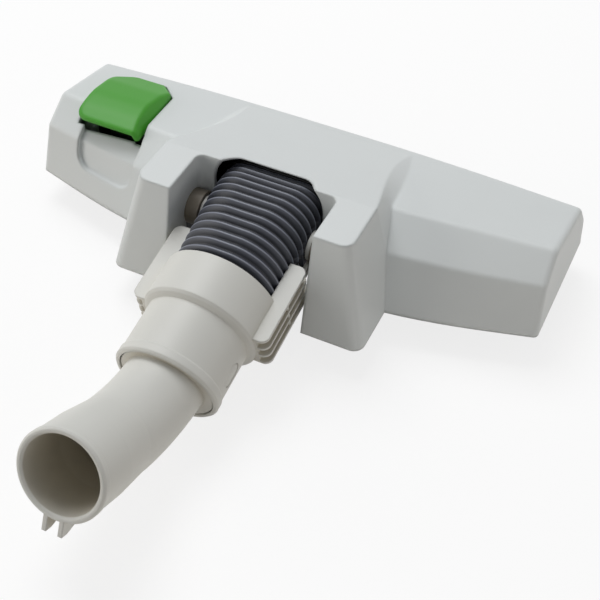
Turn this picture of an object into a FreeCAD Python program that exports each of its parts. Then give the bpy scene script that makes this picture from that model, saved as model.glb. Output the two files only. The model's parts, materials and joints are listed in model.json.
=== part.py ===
import FreeCAD, Part
import math
import os
import Sketcher

# Vacuum floor brush head: a wide cover with a drooping, swivelling neck.
# Every piece is drawn about the cover: x runs across the head, y runs forward
# from the cover's rear lower corner, and z runs up from the cover's lower edge.
# The neck's pieces are drawn about the neck's own pivot, with the neck level.

doc = FreeCAD.newDocument("floor_brush_head")
sheet = doc.addObject("Spreadsheet::Sheet", "sizes")

# Driving dimensions in millimetres and degrees
SIZES = {
    # cover, plan and section
    "cover_half_width": 137.4,
    "cover_wall": 2.2,
    "end_lean": 4.0,
    "quarter_station": 100.0,
    "quarter_bow": 0.45,
    "hump_station": 60.0,
    "hump_bow": 0.85,
    "rear_low_end": 0.0,
    "rear_low_quarter": -10.1,
    "rear_low_hump": -17.2,
    "rear_low_centre": -19.0,
    "brow_end": 7.6,
    "brow_quarter": 1.0,
    "brow_hump": -3.8,
    "brow_centre": -5.5,
    "brow_height": 26.2,
    "ridge_end": 22.3,
    "ridge_quarter": 19.2,
    "ridge_hump": 15.8,
    "ridge_centre": 13.5,
    "ridge_height": 37.2,
    "front_top_end": 64.5,
    "front_top_bow": 4.5,
    "front_top_height": 28.3,
    "nose_end": 73.5,
    "nose_bow": 2.0,
    "nose_height": 15.0,
    "skirt_below": 10.0,
    "brow_round": 3.5,
    "ridge_round": 5.0,
    "front_round": 7.0,
    "end_round": 2.8,
    "end_zone": 8.0,
    # hump and the two rear lobes
    "lobe_top": 52.0,
    "lobe_top_half_width": 55.0,
    "lobe_low_half_width": 67.0,
    "lobe_top_rear": -33.2,
    "lobe_low_rear": -45.4,
    "lobe_corner_round": 6.0,
    "deck_rear": -3.7,
    "deck_front": 64.0,
    "deck_front_height": 29.1,
    "deck_shoulder": 12.0,
    "deck_waist": 40.0,
    "shoulder_half_width": 51.3,
    "waist_half_width": 45.2,
    "deck_front_half_width": 46.5,
    "shoulder_flank": 0.43,
    "waist_flank": 1.6,
    "front_flank": 3.0,
    "flank_foot": 10.0,
    # valley between the lobes and the arch for the hose
    "valley_half_width": 36.5,
    "valley_front": -5.5,
    "valley_round": 4.0,
    "arch_half_width": 28.8,
    "arch_round": 13.0,
    "arch_top_y": 3.7,
    "arch_top_height": 48.6,
    "arch_slope": 39.0,
    "slot_overrun": 0.8,
    # rocker pedal and its pocket
    "pedal_taper": 2.6,
    "pedal_inset": 17.5,
    "pedal_width": 40.3,
    "pedal_skew": 4.6,
    "pedal_rear": 10.6,
    "pedal_front": 56.8,
    "pedal_tip": 7.4,
    "pedal_wall": 2.2,
    "pedal_corner": 9.0,
    "pedal_rear_height": 38.2,
    "pedal_hip_y": 16.0,
    "pedal_hip_height": 40.3,
    "pedal_crest_y": 27.0,
    "pedal_crest_height": 40.8,
    "pedal_knee_y": 42.0,
    "pedal_knee_height": 37.4,
    "pedal_lean": 0.6,
    "pedal_lean_height": 33.8,
    "pedal_tooth_y": 14.5,
    "pedal_tooth_height": 33.0,
    "pedal_rib_thick": 2.0,
    "pedal_rib_gap": 0.4,
    "pedal_hub_radius": 3.2,
    "pedal_rib_reach": 8.0,
    "pedal_plan_round": 7.0,
    "pedal_arch_round": 30.0,
    "pedal_front_height": 31.2,
    "pedal_skirt_height": 27.0,
    "pedal_gap": 0.7,
    "pedal_dip_height": 29.0,
    "pedal_dip_width": 5.0,
    "pedal_edge_round": 1.6,
    "pedal_axle_y": 31.0,
    "pedal_axle_height": 22.0,
    "pedal_axle_radius": 1.5,
    "running_gap": 0.06,
    "lift_pin_reach": 22.5,
    "lift_pin_radius": 1.2,
    "lift_pin_gap": 0.3,
    "lift_pin_wall": 0.6,
    "lift_post_offset": 16.9,
    "lift_post_width": 4.0,
    "lift_post_depth": 6.0,
    "scoop_offset": 23.7,
    "scoop_half_width": 17.9,
    "scoop_foot": 12.5,
    "scoop_depth": 2.6,
    "scoop_round": 8.0,
    # ride height and the pieces below the cover
    "ride_height": 15.9,
    "base_bottom": -9.3,
    "base_top": 3.0,
    "base_wall": 2.0,
    "flange_low": 1.0,
    "flange_gap": 0.4,
    "base_rear_end": 10.0,
    "base_rear_quarter": -0.5,
    "base_rear_waist": -7.5,
    "base_waist_x": 68.0,
    "base_rear_centre": -1.0,
    "tongue_thick": 1.8,
    "base_inset": 9.9,
    "base_front": 64.5,
    "foot_inner": 41.4,
    "foot_outer": 62.6,
    "foot_rear": -40.3,
    "foot_heel": 5.4,
    "sole_thick": 1.0,
    "sole_inset": 1.2,
    "mouth_inset": 19.5,
    "mouth_rear": 28.0,
    "mouth_front": 46.0,
    "trough_top": 15.0,
    "duct_half_width": 44.0,
    "duct_low_top": 17.0,
    "duct_low_bottom": -5.0,
    "duct_entry": 5.0,
    "duct_wall": 2.0,
    "duct_round": 6.0,
    "strip_rear_y": 15.0,
    "strip_front_y": 57.0,
    "strip_width": 3.4,
    "strip_gap": 0.6,
    "strip_inset": 2.0,
    "tuft_pitch": 7.0,
    "tuft_width": 4.6,
    "tuft_depth": 2.0,
    "lift_bar_width": 8.0,
    "lift_bar_thick": 3.0,
    "lift_link_width": 3.0,
    "lift_link_gap": 0.8,
    "lint_width": 4.0,
    "lint_offset": 4.4,
    "lint_thick": 0.8,
    "lint_rib_width": 1.0,
    "lint_rib_rise": 0.4,
    # wheels, rollers, screws
    "wheel_radius": 12.4,
    "wheel_width": 12.6,
    "wheel_y": -25.2,
    "wheel_x": 52.0,
    "wheel_axle_radius": 1.5,
    "wheel_gap": 0.9,
    "wheel_clearance": 0.5,
    "axle_land": 0.5,
    "wheel_chamfer": 0.8,
    "wheel_dish": 2.4,
    "wheel_hub_radius": 4.2,
    "wheel_rim": 2.2,
    "roller_radius": 4.2,
    "roller_width": 6.8,
    "roller_inset": 7.5,
    "roller_y": 52.0,
    "roller_drop": 1.0,
    "roller_gap": 0.6,
    "roller_wall": 1.2,
    "roller_pin_radius": 1.0,
    "boss_radius": 3.8,
    "boss_gap": 0.4,
    "end_boss_y": 25.0,
    "screw_radius": 1.5,
    "screw_head_radius": 2.8,
    "screw_head_thick": 1.8,
    "screw_length": 16.0,
    "screw_drive_radius": 1.05,
    "screw_drive_depth": 0.9,
    "screw_gap": 0.2,
    # neck, drawn from its pivot backwards
    "pivot_y": -14.0,
    "pivot_height": 25.9,
    "neck_droop": 10.1,
    "neck_length": 91.0,
    "pin_radius": 5.5,
    "pin_gap": 0.08,
    "bush_radius": 7.8,
    "bush_flange": 1.2,
    "ring_front": 39.7,
    "ring_rear": 61.4,
    "ring_radius": 28.5,
    "ring_bore": 26.5,
    "ring_seat": 58.0,
    "shoulder_rear": 63.8,
    "sleeve_radius": 25.0,
    "sleeve_bore": 22.7,
    "lip_radius": 25.6,
    "lip_length": 5.2,
    "lip_overhang": 2.4,
    "lip_round": 0.9,
    "collar_depth": 7.4,
    "arm_side_gap": 2.1,
    "arm_inner": 27.2,
    "arm_web": 2.2,
    "arm_top": 7.6,
    "arm_bottom": -11.4,
    "arm_fin_thick": 1.5,
    "arm_fin_count": 4.0,
    "arm_rear": 61.6,
    "arm_front": 18.0,
    "arm_round": 3.8,
    "arm_end_radius": 7.4,
    "hub_gap": 0.3,
    "strap_drop": 4.6,
    "arm_rib_y": 38.4,
    "latch_y": 78.0,
    "latch_half_length": 6.0,
    "latch_half_width": 3.6,
    "latch_sink": 0.2,
    "latch_gap": 0.25,
    "latch_relief": 0.6,
    "rib_front": 74.0,
    "rib_thick": 2.0,
    "clip_thick": 2.3,
    "clip_radius": 22.4,
    "clip_groove": 1.0,
    "clip_gap": 16.0,
    "seal_thick": 2.0,
    "swivel_gap": 0.3,
    # swivelling elbow
    "elbow_radius": 18.7,
    "elbow_bore": 16.3,
    "elbow_bend": 96.6,
    "elbow_angle": 36.7,
    "elbow_lead": 15.7,
    "elbow_straight": 37.6,
    "journal_radius": 20.4,
    "journal_reach": 21.0,
    "flange_radius": 23.0,
    "flange_thick": 5.0,
    "flange_overhang": 1.9,
    "flange_edge": 0.4,
    "socket_radius": 20.0,
    "socket_length": 20.0,
    "socket_bore": 17.5,
    "socket_depth": 26.0,
    "rim_rise": 0.4,
    "rim_length": 3.4,
    "guide_fin_thick": 2.0,
    "guide_fin_spread": 3.7,
    "guide_fin_drop": 6.4,
    "guide_fin_length": 22.0,
    "guide_fin_foot": 4.0,
    # bellows hose and its cuffs
    "hose_radius": 25.7,
    "hose_groove": 2.4,
    "hose_wall": 1.0,
    "hose_rings": 17.0,
    "hose_front_y": 7.0,
    "hose_front_height": 26.2,
    "hose_front_half_width": 27.6,
    "hose_front_half_height": 17.5,
    "hose_corner": 12.0,
    "hose_crest": 0.34,
    "hose_lead": 27.0,
    "hose_lag": 25.0,
    "hose_flatten": 6.0,
    "hose_widen": 3.0,
    "hose_flat": 0.4,
    "cuff_thick": 1.6,
    "cuff_bore": 19.6,
    "cuff_spigot": 8.0,
    "cuff_gap": 0.2,
}
for row, (alias, number) in enumerate(SIZES.items(), start=1):
    sheet.set("A%d" % row, alias.replace("_", " "))
    sheet.set("B%d" % row, str(number))
    sheet.setAlias("B%d" % row, alias)
doc.recompute()


class Size:
    """A length that carries its number and the formula that gives it."""

    def __init__(self, number, formula):
        self.number = number
        self.formula = formula

    def combine(self, other, sign, number):
        return Size(number, "(%s %s %s)" % (self.formula, sign, as_size(other).formula))

    def __add__(self, other):
        return self.combine(other, "+", self.number + as_size(other).number)

    def __sub__(self, other):
        return self.combine(other, "-", self.number - as_size(other).number)

    def __mul__(self, other):
        return self.combine(other, "*", self.number * as_size(other).number)

    def __truediv__(self, other):
        return self.combine(other, "/", self.number / as_size(other).number)

    def __neg__(self):
        return Size(-self.number, "(0 - %s)" % self.formula)

    def __radd__(self, other):
        return as_size(other) + self

    def __rsub__(self, other):
        return as_size(other) - self

    def __rmul__(self, other):
        return as_size(other) * self


def as_size(value):
    return value if isinstance(value, Size) else Size(float(value), "(%.6f)" % value)


def size(alias):
    return Size(float(sheet.get(alias)), "sizes.%s" % alias)


def number(value):
    return as_size(value).number


def bind(thing, prop, value):
    thing.setExpression(prop, as_size(value).formula)


def sine(angle):
    return Size(math.sin(math.radians(angle.number)), "sin(%s * 1 deg)" % angle.formula)


def cosine(angle):
    return Size(math.cos(math.radians(angle.number)), "cos(%s * 1 deg)" % angle.formula)


X_AXIS = FreeCAD.Vector(1, 0, 0)
Y_AXIS = FreeCAD.Vector(0, 1, 0)
Z_AXIS = FreeCAD.Vector(0, 0, 1)
# Turns that carry a sketch's own x and y onto the directions named
ON_XY = FreeCAD.Rotation()
ON_XZ = FreeCAD.Rotation(X_AXIS, 90)
ON_YZ = FreeCAD.Rotation(FreeCAD.Vector(1, 1, 1), 120)
ALONG_X = FreeCAD.Rotation(Y_AXIS, 90)
ALONG_Y = FreeCAD.Rotation(X_AXIS, -90)


def place(thing, x=0, y=0, z=0, turn=ON_XY):
    """Put a thing at x, y, z, each tied to its formula, with a fixed turn."""
    thing.Placement = FreeCAD.Placement(FreeCAD.Vector(number(x), number(y), number(z)), turn)
    for axis, value in (("x", x), ("y", y), ("z", z)):
        if isinstance(value, Size):
            bind(thing, "Placement.Base." + axis, value)
    return thing


def box(name, low, high):
    """A box between two corners."""
    thing = doc.addObject("Part::Box", name)
    for prop, start, end in zip(("Length", "Width", "Height"), low, high):
        bind(thing, prop, as_size(end) - start)
    return place(thing, *low)


def cylinder(name, radius, length, x=0, y=0, z=0, turn=ON_XY):
    """A round bar from x, y, z along the turned axis."""
    thing = doc.addObject("Part::Cylinder", name)
    bind(thing, "Radius", radius)
    bind(thing, "Height", length)
    return place(thing, x, y, z, turn)


def sketch(name, corners, turn=ON_XY, x=0, y=0, z=0):
    """A closed outline with straight sides, every corner tied to its sizes."""
    drawing = doc.addObject("Sketcher::SketchObject", name)
    points = [FreeCAD.Vector(number(across), number(along), 0) for across, along in corners]
    count = len(points)
    for index in range(count):
        drawing.addGeometry(Part.LineSegment(points[index], points[(index + 1) % count]), False)
    for index in range(count):
        drawing.addConstraint(Sketcher.Constraint("Coincident", index, 2, (index + 1) % count, 1))
    for index, (across, along) in enumerate(corners):
        for kind, value in (("DistanceX", across), ("DistanceY", along)):
            rule = drawing.addConstraint(Sketcher.Constraint(kind, -1, 1, index, 1, number(value)))
            bind(drawing, "Constraints[%d]" % rule, value)
    return place(drawing, x, y, z, turn)


def rounded_sketch(name, centre, half_width, half_height, radius, turn=ON_XY, x=0, y=0, z=0):
    """A rectangle with round corners about a centre, tied to its sizes."""
    drawing = doc.addObject("Sketcher::SketchObject", name)
    mid_x, mid_y = as_size(centre[0]), as_size(centre[1])
    reach_x, reach_y = as_size(half_width) - radius, as_size(half_height) - radius
    bend = number(radius)
    for quarter, (side_x, side_y) in enumerate(((1, 1), (-1, 1), (-1, -1), (1, -1))):
        middle = FreeCAD.Vector((mid_x + reach_x * side_x).number, (mid_y + reach_y * side_y).number, 0)
        circle = Part.Circle(middle, Z_AXIS, bend)
        start = quarter * math.pi / 2
        drawing.addGeometry(Part.ArcOfCircle(circle, start, start + math.pi / 2), False)
    for quarter in range(4):
        ahead = (quarter + 1) % 4
        start, end = drawing.getPoint(quarter, 2), drawing.getPoint(ahead, 1)
        drawing.addGeometry(Part.LineSegment(start, end), False)
    for quarter, (side_x, side_y) in enumerate(((1, 1), (-1, 1), (-1, -1), (1, -1))):
        ahead = (quarter + 1) % 4
        drawing.addConstraint(Sketcher.Constraint("Tangent", quarter, 2, 4 + quarter, 1))
        drawing.addConstraint(Sketcher.Constraint("Tangent", 4 + quarter, 2, ahead, 1))
        for kind, value in (("DistanceX", mid_x + reach_x * side_x), ("DistanceY", mid_y + reach_y * side_y)):
            rule = drawing.addConstraint(Sketcher.Constraint(kind, -1, 1, quarter, 3, value.number))
            bind(drawing, "Constraints[%d]" % rule, value)
    rule = drawing.addConstraint(Sketcher.Constraint("Radius", 0, bend))
    bind(drawing, "Constraints[%d]" % rule, radius)
    return place(drawing, x, y, z, turn)


def extrude(name, drawing, direction, forward, backward=0):
    """Push an outline along a direction, both ways if asked."""
    thing = doc.addObject("Part::Extrusion", name)
    thing.Base = drawing
    thing.DirMode = "Custom"
    thing.Dir = direction
    thing.Solid = True
    bind(thing, "LengthFwd", forward)
    if number(backward) != 0:
        bind(thing, "LengthRev", backward)
    return thing


def inset(name, drawing, amount):
    """The same outline drawn inward by an amount, with sharp corners kept."""
    thing = doc.addObject("Part::Offset2D", name)
    thing.Source = drawing
    thing.Join = "Intersection"
    bind(thing, "Value", -as_size(amount))
    return thing


def loft(name, outlines, ruled=False):
    thing = doc.addObject("Part::Loft", name)
    thing.Sections = outlines
    thing.Solid = True
    thing.Ruled = ruled
    return thing


def revolve(name, corners):
    """Turn an outline of (along y, radius) corners round the y axis."""
    profile = sketch(name + "_profile", [(radius, along) for along, radius in corners])
    thing = doc.addObject("Part::Revolution", name)
    thing.Source = profile
    thing.Axis = Y_AXIS
    thing.Angle = 360
    thing.Solid = True
    return thing


def joined(name, things):
    thing = doc.addObject("Part::MultiFuse", name)
    thing.Shapes = things
    thing.Refine = True
    return thing


def cut(name, base, tool):
    thing = doc.addObject("Part::Cut", name)
    thing.Base = base
    thing.Tool = tool
    thing.Refine = True
    return thing


def common(name, first, second):
    thing = doc.addObject("Part::Common", name)
    thing.Base = first
    thing.Tool = second
    return thing


def mirrored(name, source):
    """The same thing on the other side of the middle plane."""
    thing = doc.addObject("Part::Mirroring", name)
    thing.Source = source
    thing.Normal = X_AXIS
    return thing


def both_sides(name, source):
    return joined(name, [source, mirrored(name + "_mirror", source)])


def rounded(name, source, radius, chosen):
    """Round the edges that a test picks."""
    doc.recompute()
    thing = doc.addObject("Part::Fillet", name)
    thing.Base = source
    bend = number(radius)
    picked = [index for index, edge in enumerate(source.Shape.Edges, start=1) if chosen(edge)]
    thing.Edges = [(index, bend, bend) for index in picked]
    return thing


def middle_of(edge):
    return edge.valueAt((edge.FirstParameter + edge.LastParameter) / 2)


def span(edge, axis):
    bounds = edge.BoundBox
    return {"x": bounds.XLength, "y": bounds.YLength, "z": bounds.ZLength}[axis]


# How near to its expected place an edge is looked for, in millimetres
LOOSE, CLOSE, TIGHT, EXACT = 1.0, 0.5, 0.1, 0.01
# The least share of the whole width that an edge along the head runs
NEARLY_WHOLE = 0.95
# How far a cutting shape runs past the face that it opens
OVER = 1.0

wall = size("cover_wall")
half_width = size("cover_half_width")
zero = Size(0.0, "0")
far = half_width * 2
skirt = size("skirt_below")
brow_height, ridge_height = size("brow_height"), size("ridge_height")


def wing_corners(station, front_share):
    """The cover's section at a station, drawn on a y, z plane."""
    rear, brow, ridge = size("rear_low_" + station), size("brow_" + station), size("ridge_" + station)
    front_top = size("front_top_end") + size("front_top_bow") * front_share
    nose = size("nose_end") + size("nose_bow") * front_share
    tuck = (brow - rear) * (skirt / brow_height)
    return [
        (rear - tuck, -skirt),
        (brow, brow_height),
        (ridge, ridge_height),
        (front_top, size("front_top_height")),
        (nose, size("nose_height")),
        (nose, -skirt),
    ]


def wing_sections(name, end_x):
    """Seven sections from the left end to the right end."""
    sections = []
    plan = (
        ("end", end_x, 0.0),
        ("quarter", size("quarter_station"), size("quarter_bow")),
        ("hump", size("hump_station"), size("hump_bow")),
        ("centre", zero, 1.0),
    )
    for side in (-1, 1):
        ordered = plan if side < 0 else plan[:3][::-1]
        for station, x, front_share in ordered:
            lean = size("end_lean").number * side if station == "end" else 0
            turn = FreeCAD.Rotation(Y_AXIS, -lean) * ON_YZ
            label = "%s_%s_%s" % (name, station, "left" if side < 0 else "right")
            sections.append(sketch(label, wing_corners(station, front_share), turn, x * side))
    return sections


def hump_sections(name):
    """Four sections of the hump from its shoulder down to the front edge."""
    foot = size("flank_foot")
    fall = (size("lobe_top") - size("deck_front_height")) / (size("deck_front") - size("deck_rear"))
    lobe_lean = (size("lobe_low_half_width") - size("lobe_top_half_width")) / size("lobe_top")
    plan = (
        ("rear", size("deck_rear"), size("lobe_top_half_width"), lobe_lean),
        ("shoulder", size("deck_shoulder"), size("shoulder_half_width"), size("shoulder_flank")),
        ("waist", size("deck_waist"), size("waist_half_width"), size("waist_flank")),
        ("front", size("deck_front"), size("deck_front_half_width"), size("front_flank")),
    )
    sections = []
    for label, y, crest, flank in plan:
        top = size("lobe_top") - fall * (y - size("deck_rear"))
        base = crest + flank * (top - foot)
        corners = [(-base, foot), (base, foot), (crest, top), (-crest, top)]
        sections.append(sketch("%s_%s" % (name, label), corners, ON_XZ, 0, y))
    return sections


def lobe_section(name, height, front, inward=0):
    """The lobes' plan at a height, before the valley parts them."""
    share = as_size(height) / size("lobe_top")
    half = size("lobe_low_half_width") - (size("lobe_low_half_width") - size("lobe_top_half_width")) * share
    rear = size("lobe_low_rear") + (size("lobe_top_rear") - size("lobe_low_rear")) * share
    half, rear = half - inward, rear + inward
    return sketch(name, [(-half, rear), (half, rear), (half, front), (-half, front)], ON_XY, 0, 0, height)


def valley_tool(name, grow):
    """The space between the lobes, open to the rear and above."""
    half = size("valley_half_width") + grow
    front = size("valley_front") + grow
    reach = size("lobe_low_rear") - skirt * 2
    corners = [(-half, reach), (half, reach), (half, front), (-half, front)]
    plan = sketch(name + "_plan", corners, ON_XY, 0, 0, -skirt * 2)
    block = extrude(name + "_block", plan, Z_AXIS, skirt * 3 + size("lobe_top"))

    def front_corner(edge):
        return span(edge, "z") > LOOSE and middle_of(edge).y > number(front) - LOOSE

    return rounded(name, block, size("valley_round"), front_corner)


def make_cover_outside():
    """The cover as a solid: wings, hump and lobes, with the valley cut out."""
    wings = loft("wings", wing_sections("wing", half_width))

    def long_edge(edge, heights, play):
        along = span(edge, "x") > half_width.number * 2 * NEARLY_WHOLE
        return along and min(abs(middle_of(edge).z - number(height)) for height in heights) < play

    def end_edge(edge):
        point = middle_of(edge)
        outermost = abs(point.x) > half_width.number - number(size("end_zone"))
        return outermost and point.z > LOOSE - skirt.number and span(edge, "x") < half_width.number

    def rear_corner(edge):
        return span(edge, "z") > skirt.number and middle_of(edge).y < front.number - LOOSE

    soft_brow = rounded("wings_brow", wings, size("brow_round"),
                        lambda edge: long_edge(edge, [brow_height], LOOSE))
    soft_ridge = rounded("wings_ridge", soft_brow, size("ridge_round"),
                         lambda edge: long_edge(edge, [ridge_height], LOOSE))
    front_heights = [size("front_top_height"), size("nose_height")]
    soft_front = rounded("wings_front", soft_ridge, size("front_round"),
                         lambda edge: long_edge(edge, front_heights, CLOSE))
    ends = rounded("wings_ends", soft_front, size("end_round"), end_edge)
    hump = loft("hump", hump_sections("hump"))
    front = size("deck_rear")
    low_section = lobe_section("lobes_low", -skirt, front)
    lobes = loft("lobes", [low_section, lobe_section("lobes_high", size("lobe_top"), front)])
    lobes_soft = rounded("lobes_soft", lobes, size("lobe_corner_round"), rear_corner)
    outside = joined("cover_outside", [ends, hump, lobes_soft])
    return cut("cover_parted", outside, valley_tool("valley", zero))


ride = size("ride_height")
sole_level = size("base_bottom")
floor_top = sole_level + size("base_wall")
sole_bottom = sole_level - size("sole_thick")
base_top = size("base_top")
base_side = half_width - size("base_inset")
roller_x = base_side - size("roller_inset")
mouth_x = base_side - size("mouth_inset")
strip_x = mouth_x - size("strip_inset")
pedal_left = -(half_width - size("pedal_inset"))
pedal_right = pedal_left + size("pedal_width")
scoop_x = pedal_left + size("scoop_offset")
lift_post_x = pedal_left + size("lift_post_offset")
arm_outer = size("valley_half_width") - size("arm_side_gap")
web_face = size("arm_inner") + size("arm_web")
pedal_axle_y, pedal_axle_z = size("pedal_axle_y"), size("pedal_axle_height")
lift_pin_y = pedal_axle_y + size("lift_pin_reach")
wheel_x, wheel_y = size("wheel_x"), size("wheel_y")
wheel_z = size("wheel_radius") - ride
pivot_y, pivot_z = size("pivot_y"), size("pivot_height")
running = size("running_gap")
pieces = []


def bend_end():
    """Where the elbow's bend gives way to its straight end, with the neck level."""
    start, bend, angle = size("elbow_lead") - size("neck_length"), size("elbow_bend"), size("elbow_angle")
    return start - bend * sine(angle), bend - bend * cosine(angle)


def rear_reach():
    """How far back the tips of the guide fins lie."""
    droop, angle = size("neck_droop"), size("elbow_angle")
    along, up = bend_end()
    reach, drop = size("elbow_straight"), size("socket_radius") + size("guide_fin_drop")
    along = along - reach * cosine(angle) - drop * sine(angle)
    up = up + reach * sine(angle) - drop * cosine(angle)
    return pivot_y + along * cosine(droop) - up * sine(droop)


datum_y = -(rear_reach() + size("nose_end") + size("nose_bow")) / 2
NECK_TURN = FreeCAD.Rotation(X_AXIS, number(size("neck_droop")))
ACROSS = FreeCAD.Rotation(Z_AXIS, -90)


def keep(label, thing, x=zero, y=zero, z=zero, turn=ON_XY):
    """Name a finished piece and put it in the frame that all pieces share."""
    thing.Label = label
    pieces.append(place(thing, x, datum_y + y, ride + z, turn))


def keep_on_neck(label, thing):
    keep(label, thing, zero, pivot_y, pivot_z, NECK_TURN)


def wings_within(name, depth):
    """The wings drawn inward by a depth."""
    sections = wing_sections(name, half_width - depth)
    return loft(name + "_solid", [inset(section.Name + "_in", section, depth) for section in sections])


def lobes_within(name, depth):
    """The two lobes drawn inward by a depth, still in one."""
    front = size("deck_rear") + OVER
    high = size("lobe_top") - depth
    low_section = lobe_section(name + "_low", -skirt, front, depth)
    return loft(name + "_solid", [low_section, lobe_section(name + "_high", high, front, depth)])


def make_cover_inside():
    """The hollow under the cover's wall, less the posts and the wall behind the scoop."""
    sections = [inset(section.Name + "_in", section, wall) for section in hump_sections("hollow")]
    hump = loft("hollow_hump", sections)
    wings = wings_within("hollow_wings", wall)
    inside = joined("cover_inside", [wings, hump, lobes_within("hollow_lobes", wall)])
    hollow = cut("cover_hollow", inside, valley_tool("valley_walls", wall))
    half = size("scoop_half_width") + wall
    low = (scoop_x - half, -far, size("scoop_foot") - wall)
    high = (scoop_x + half, size("pedal_rear") + wall, size("lobe_top"))
    deep = wings_within("scoop_wings", wall + size("scoop_depth"))
    patch = cut("scoop_patch", box("scoop_block", low, high), deep)
    return cut("cover_spaces", hollow, joined("cover_posts", cover_posts() + [patch]))


def pedal_plan(name, grow, rear, height):
    """The pedal's plan, wider at the rear right, with a blunt point at the front."""
    left, right = pedal_left - grow, pedal_right + grow
    front = size("pedal_front") + grow
    corner, taper = size("pedal_corner"), size("pedal_taper")
    corners = [
        (left + taper, rear),
        (right, rear),
        (right - size("pedal_skew"), front - corner),
        (right - size("pedal_skew") - corner, front),
        (left + corner, front),
        (left, front - corner),
    ]
    return sketch(name, corners, ON_XY, 0, 0, height)


def make_scoop():
    """A shallow dish in the rear face, for the toe that works the pedal."""
    half, foot, top = size("scoop_half_width"), size("scoop_foot"), size("pedal_rear_height")
    plan = rounded_sketch("scoop_outline", (scoop_x, (foot + top) / 2), half, (top - foot) / 2,
                          size("scoop_round"), ON_XZ, 0, size("pedal_rear"))
    prism = extrude("scoop_prism", plan, FreeCAD.Vector(0, -1, 0), far)
    return cut("scoop", prism, wings_within("scoop_floor", size("scoop_depth")))


def boss_places():
    """Where the base is screwed to the cover: two in the lobes, two near the ends."""
    edge = size("boss_radius") + size("boss_gap")
    rear_y = size("deck_rear") - edge
    end_x = base_side - size("base_wall") - edge
    return (("rear", wheel_x, rear_y), ("end", end_x, size("end_boss_y")))


def at_bosses(name, radius, low, high):
    """A round bar at each of the four screw places."""
    bars = []
    for label, x, y in boss_places():
        for side in (-1, 1):
            bars.append(cylinder("%s_%s_%d" % (name, label, side + 1), radius, high - low, x * side, y, low))
    return bars


def cheek_places():
    return pedal_left - size("pedal_gap") - wall, pedal_right + size("pedal_gap")


def cover_posts():
    """Screw bosses under the roof and the two cheeks that carry the pedal's axle."""
    posts = at_bosses("boss", size("boss_radius"), base_top, size("lobe_top") * 2)
    reach = size("pedal_axle_radius") * 2
    for index, x in enumerate(cheek_places()):
        low = (x - wall / 2, pedal_axle_y - reach, pedal_axle_z - reach)
        posts.append(box("cheek_%d" % index, low, (x + wall / 2, pedal_axle_y + reach, size("lobe_top"))))
    return posts


def make_cover():
    """The top shell, with its arch, pivot slots, pedal pocket, scoop and posts."""
    shell = cut("cover_shell", make_cover_outside(), make_cover_inside())
    rise = number(size("arch_slope"))
    half = size("arch_half_width")
    plan = rounded_sketch("arch_outline", (0, -half), half, half, size("arch_round"),
                          FreeCAD.Rotation(X_AXIS, 90 - rise), 0, size("arch_top_y"), size("arch_top_height"))
    along = FreeCAD.Vector(0, -math.cos(math.radians(rise)), math.sin(math.radians(rise)))
    arch = extrude("arch", plan, along, half * 2, size("arch_round") * 2)

    radius = size("bush_radius")
    valley = size("valley_half_width")
    reach = valley + wall + size("slot_overrun")
    slot = cylinder("slot_round", radius, reach * 2, -reach, pivot_y, pivot_z, ALONG_X)
    collar = radius + size("bush_flange") + size("cuff_gap")
    facing = cylinder("slot_facing", collar, valley * 2, -valley, pivot_y, pivot_z, ALONG_X)
    foot = box("slot_foot", (-reach, pivot_y - radius, -skirt), (reach, pivot_y + radius, pivot_z))

    pocket_foot = pedal_axle_z - size("pedal_hub_radius")
    pocket_plan = pedal_plan("pocket_plan", size("pedal_gap"), size("pedal_rear"), pocket_foot)
    pocket = extrude("pedal_pocket", pocket_plan, Z_AXIS, size("lobe_top"))
    side = pedal_right + size("pedal_gap")
    dip = box("pedal_dip", (side - size("pedal_dip_width"), size("pedal_tip"), size("pedal_dip_height")),
              (side, size("pedal_rear") + wall, size("pedal_rear_height")))
    below = box("below_cover", (-far, -far, -far), (far, far, 0))
    pilots = at_bosses("pilot", size("screw_radius"), base_top - OVER, base_top + size("screw_length"))
    left, right = cheek_places()
    bore = cylinder("cheek_bore", size("pedal_axle_radius"), right - left + wall * 2,
                    left - wall, pedal_axle_y, pedal_axle_z, ALONG_X)
    openings = joined("cover_openings", [arch, slot, facing, foot, pocket, dip, below, bore] + pilots)
    keep("upper_cover", cut("upper_cover", cut("cover_scooped", shell, make_scoop()), openings))


def tray_outline(name, height):
    """The lower body's plan without its feet."""
    side = base_side
    waist, centre = size("base_rear_waist"), size("base_rear_centre")
    right = [
        (side, size("base_front")),
        (side, size("base_rear_end")),
        (size("quarter_station"), size("base_rear_quarter")),
        (size("base_waist_x"), waist),
        (size("foot_inner"), waist),
        (size("foot_inner"), centre),
    ]
    left = [(-x, y) for x, y in reversed(right)]
    return sketch(name, right + left, ON_XY, 0, 0, height)


def wheel_slots():
    """The two wheel wells, open right through the feet."""
    half = size("wheel_width") / 2 + size("wheel_gap")
    reach = size("wheel_radius") + size("wheel_clearance")
    slots = []
    for side in (-1, 1):
        x = wheel_x * side
        slots.append(box("wheel_slot_%d" % (side + 1), (x - half, wheel_y - reach, -far),
                         (x + half, wheel_y + reach, far)))
    return slots


def strip_slots(name, low, high):
    """The two slots that the bristle strips pass through."""
    half_x = strip_x + size("strip_gap")
    half_y = size("strip_width") / 2 + size("strip_gap")
    slots = []
    for place_name in ("rear", "front"):
        y = size("strip_%s_y" % place_name)
        slots.append(box("%s_%s" % (name, place_name), (-half_x, y - half_y, low),
                         (half_x, y + half_y, high)))
    return slots


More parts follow.
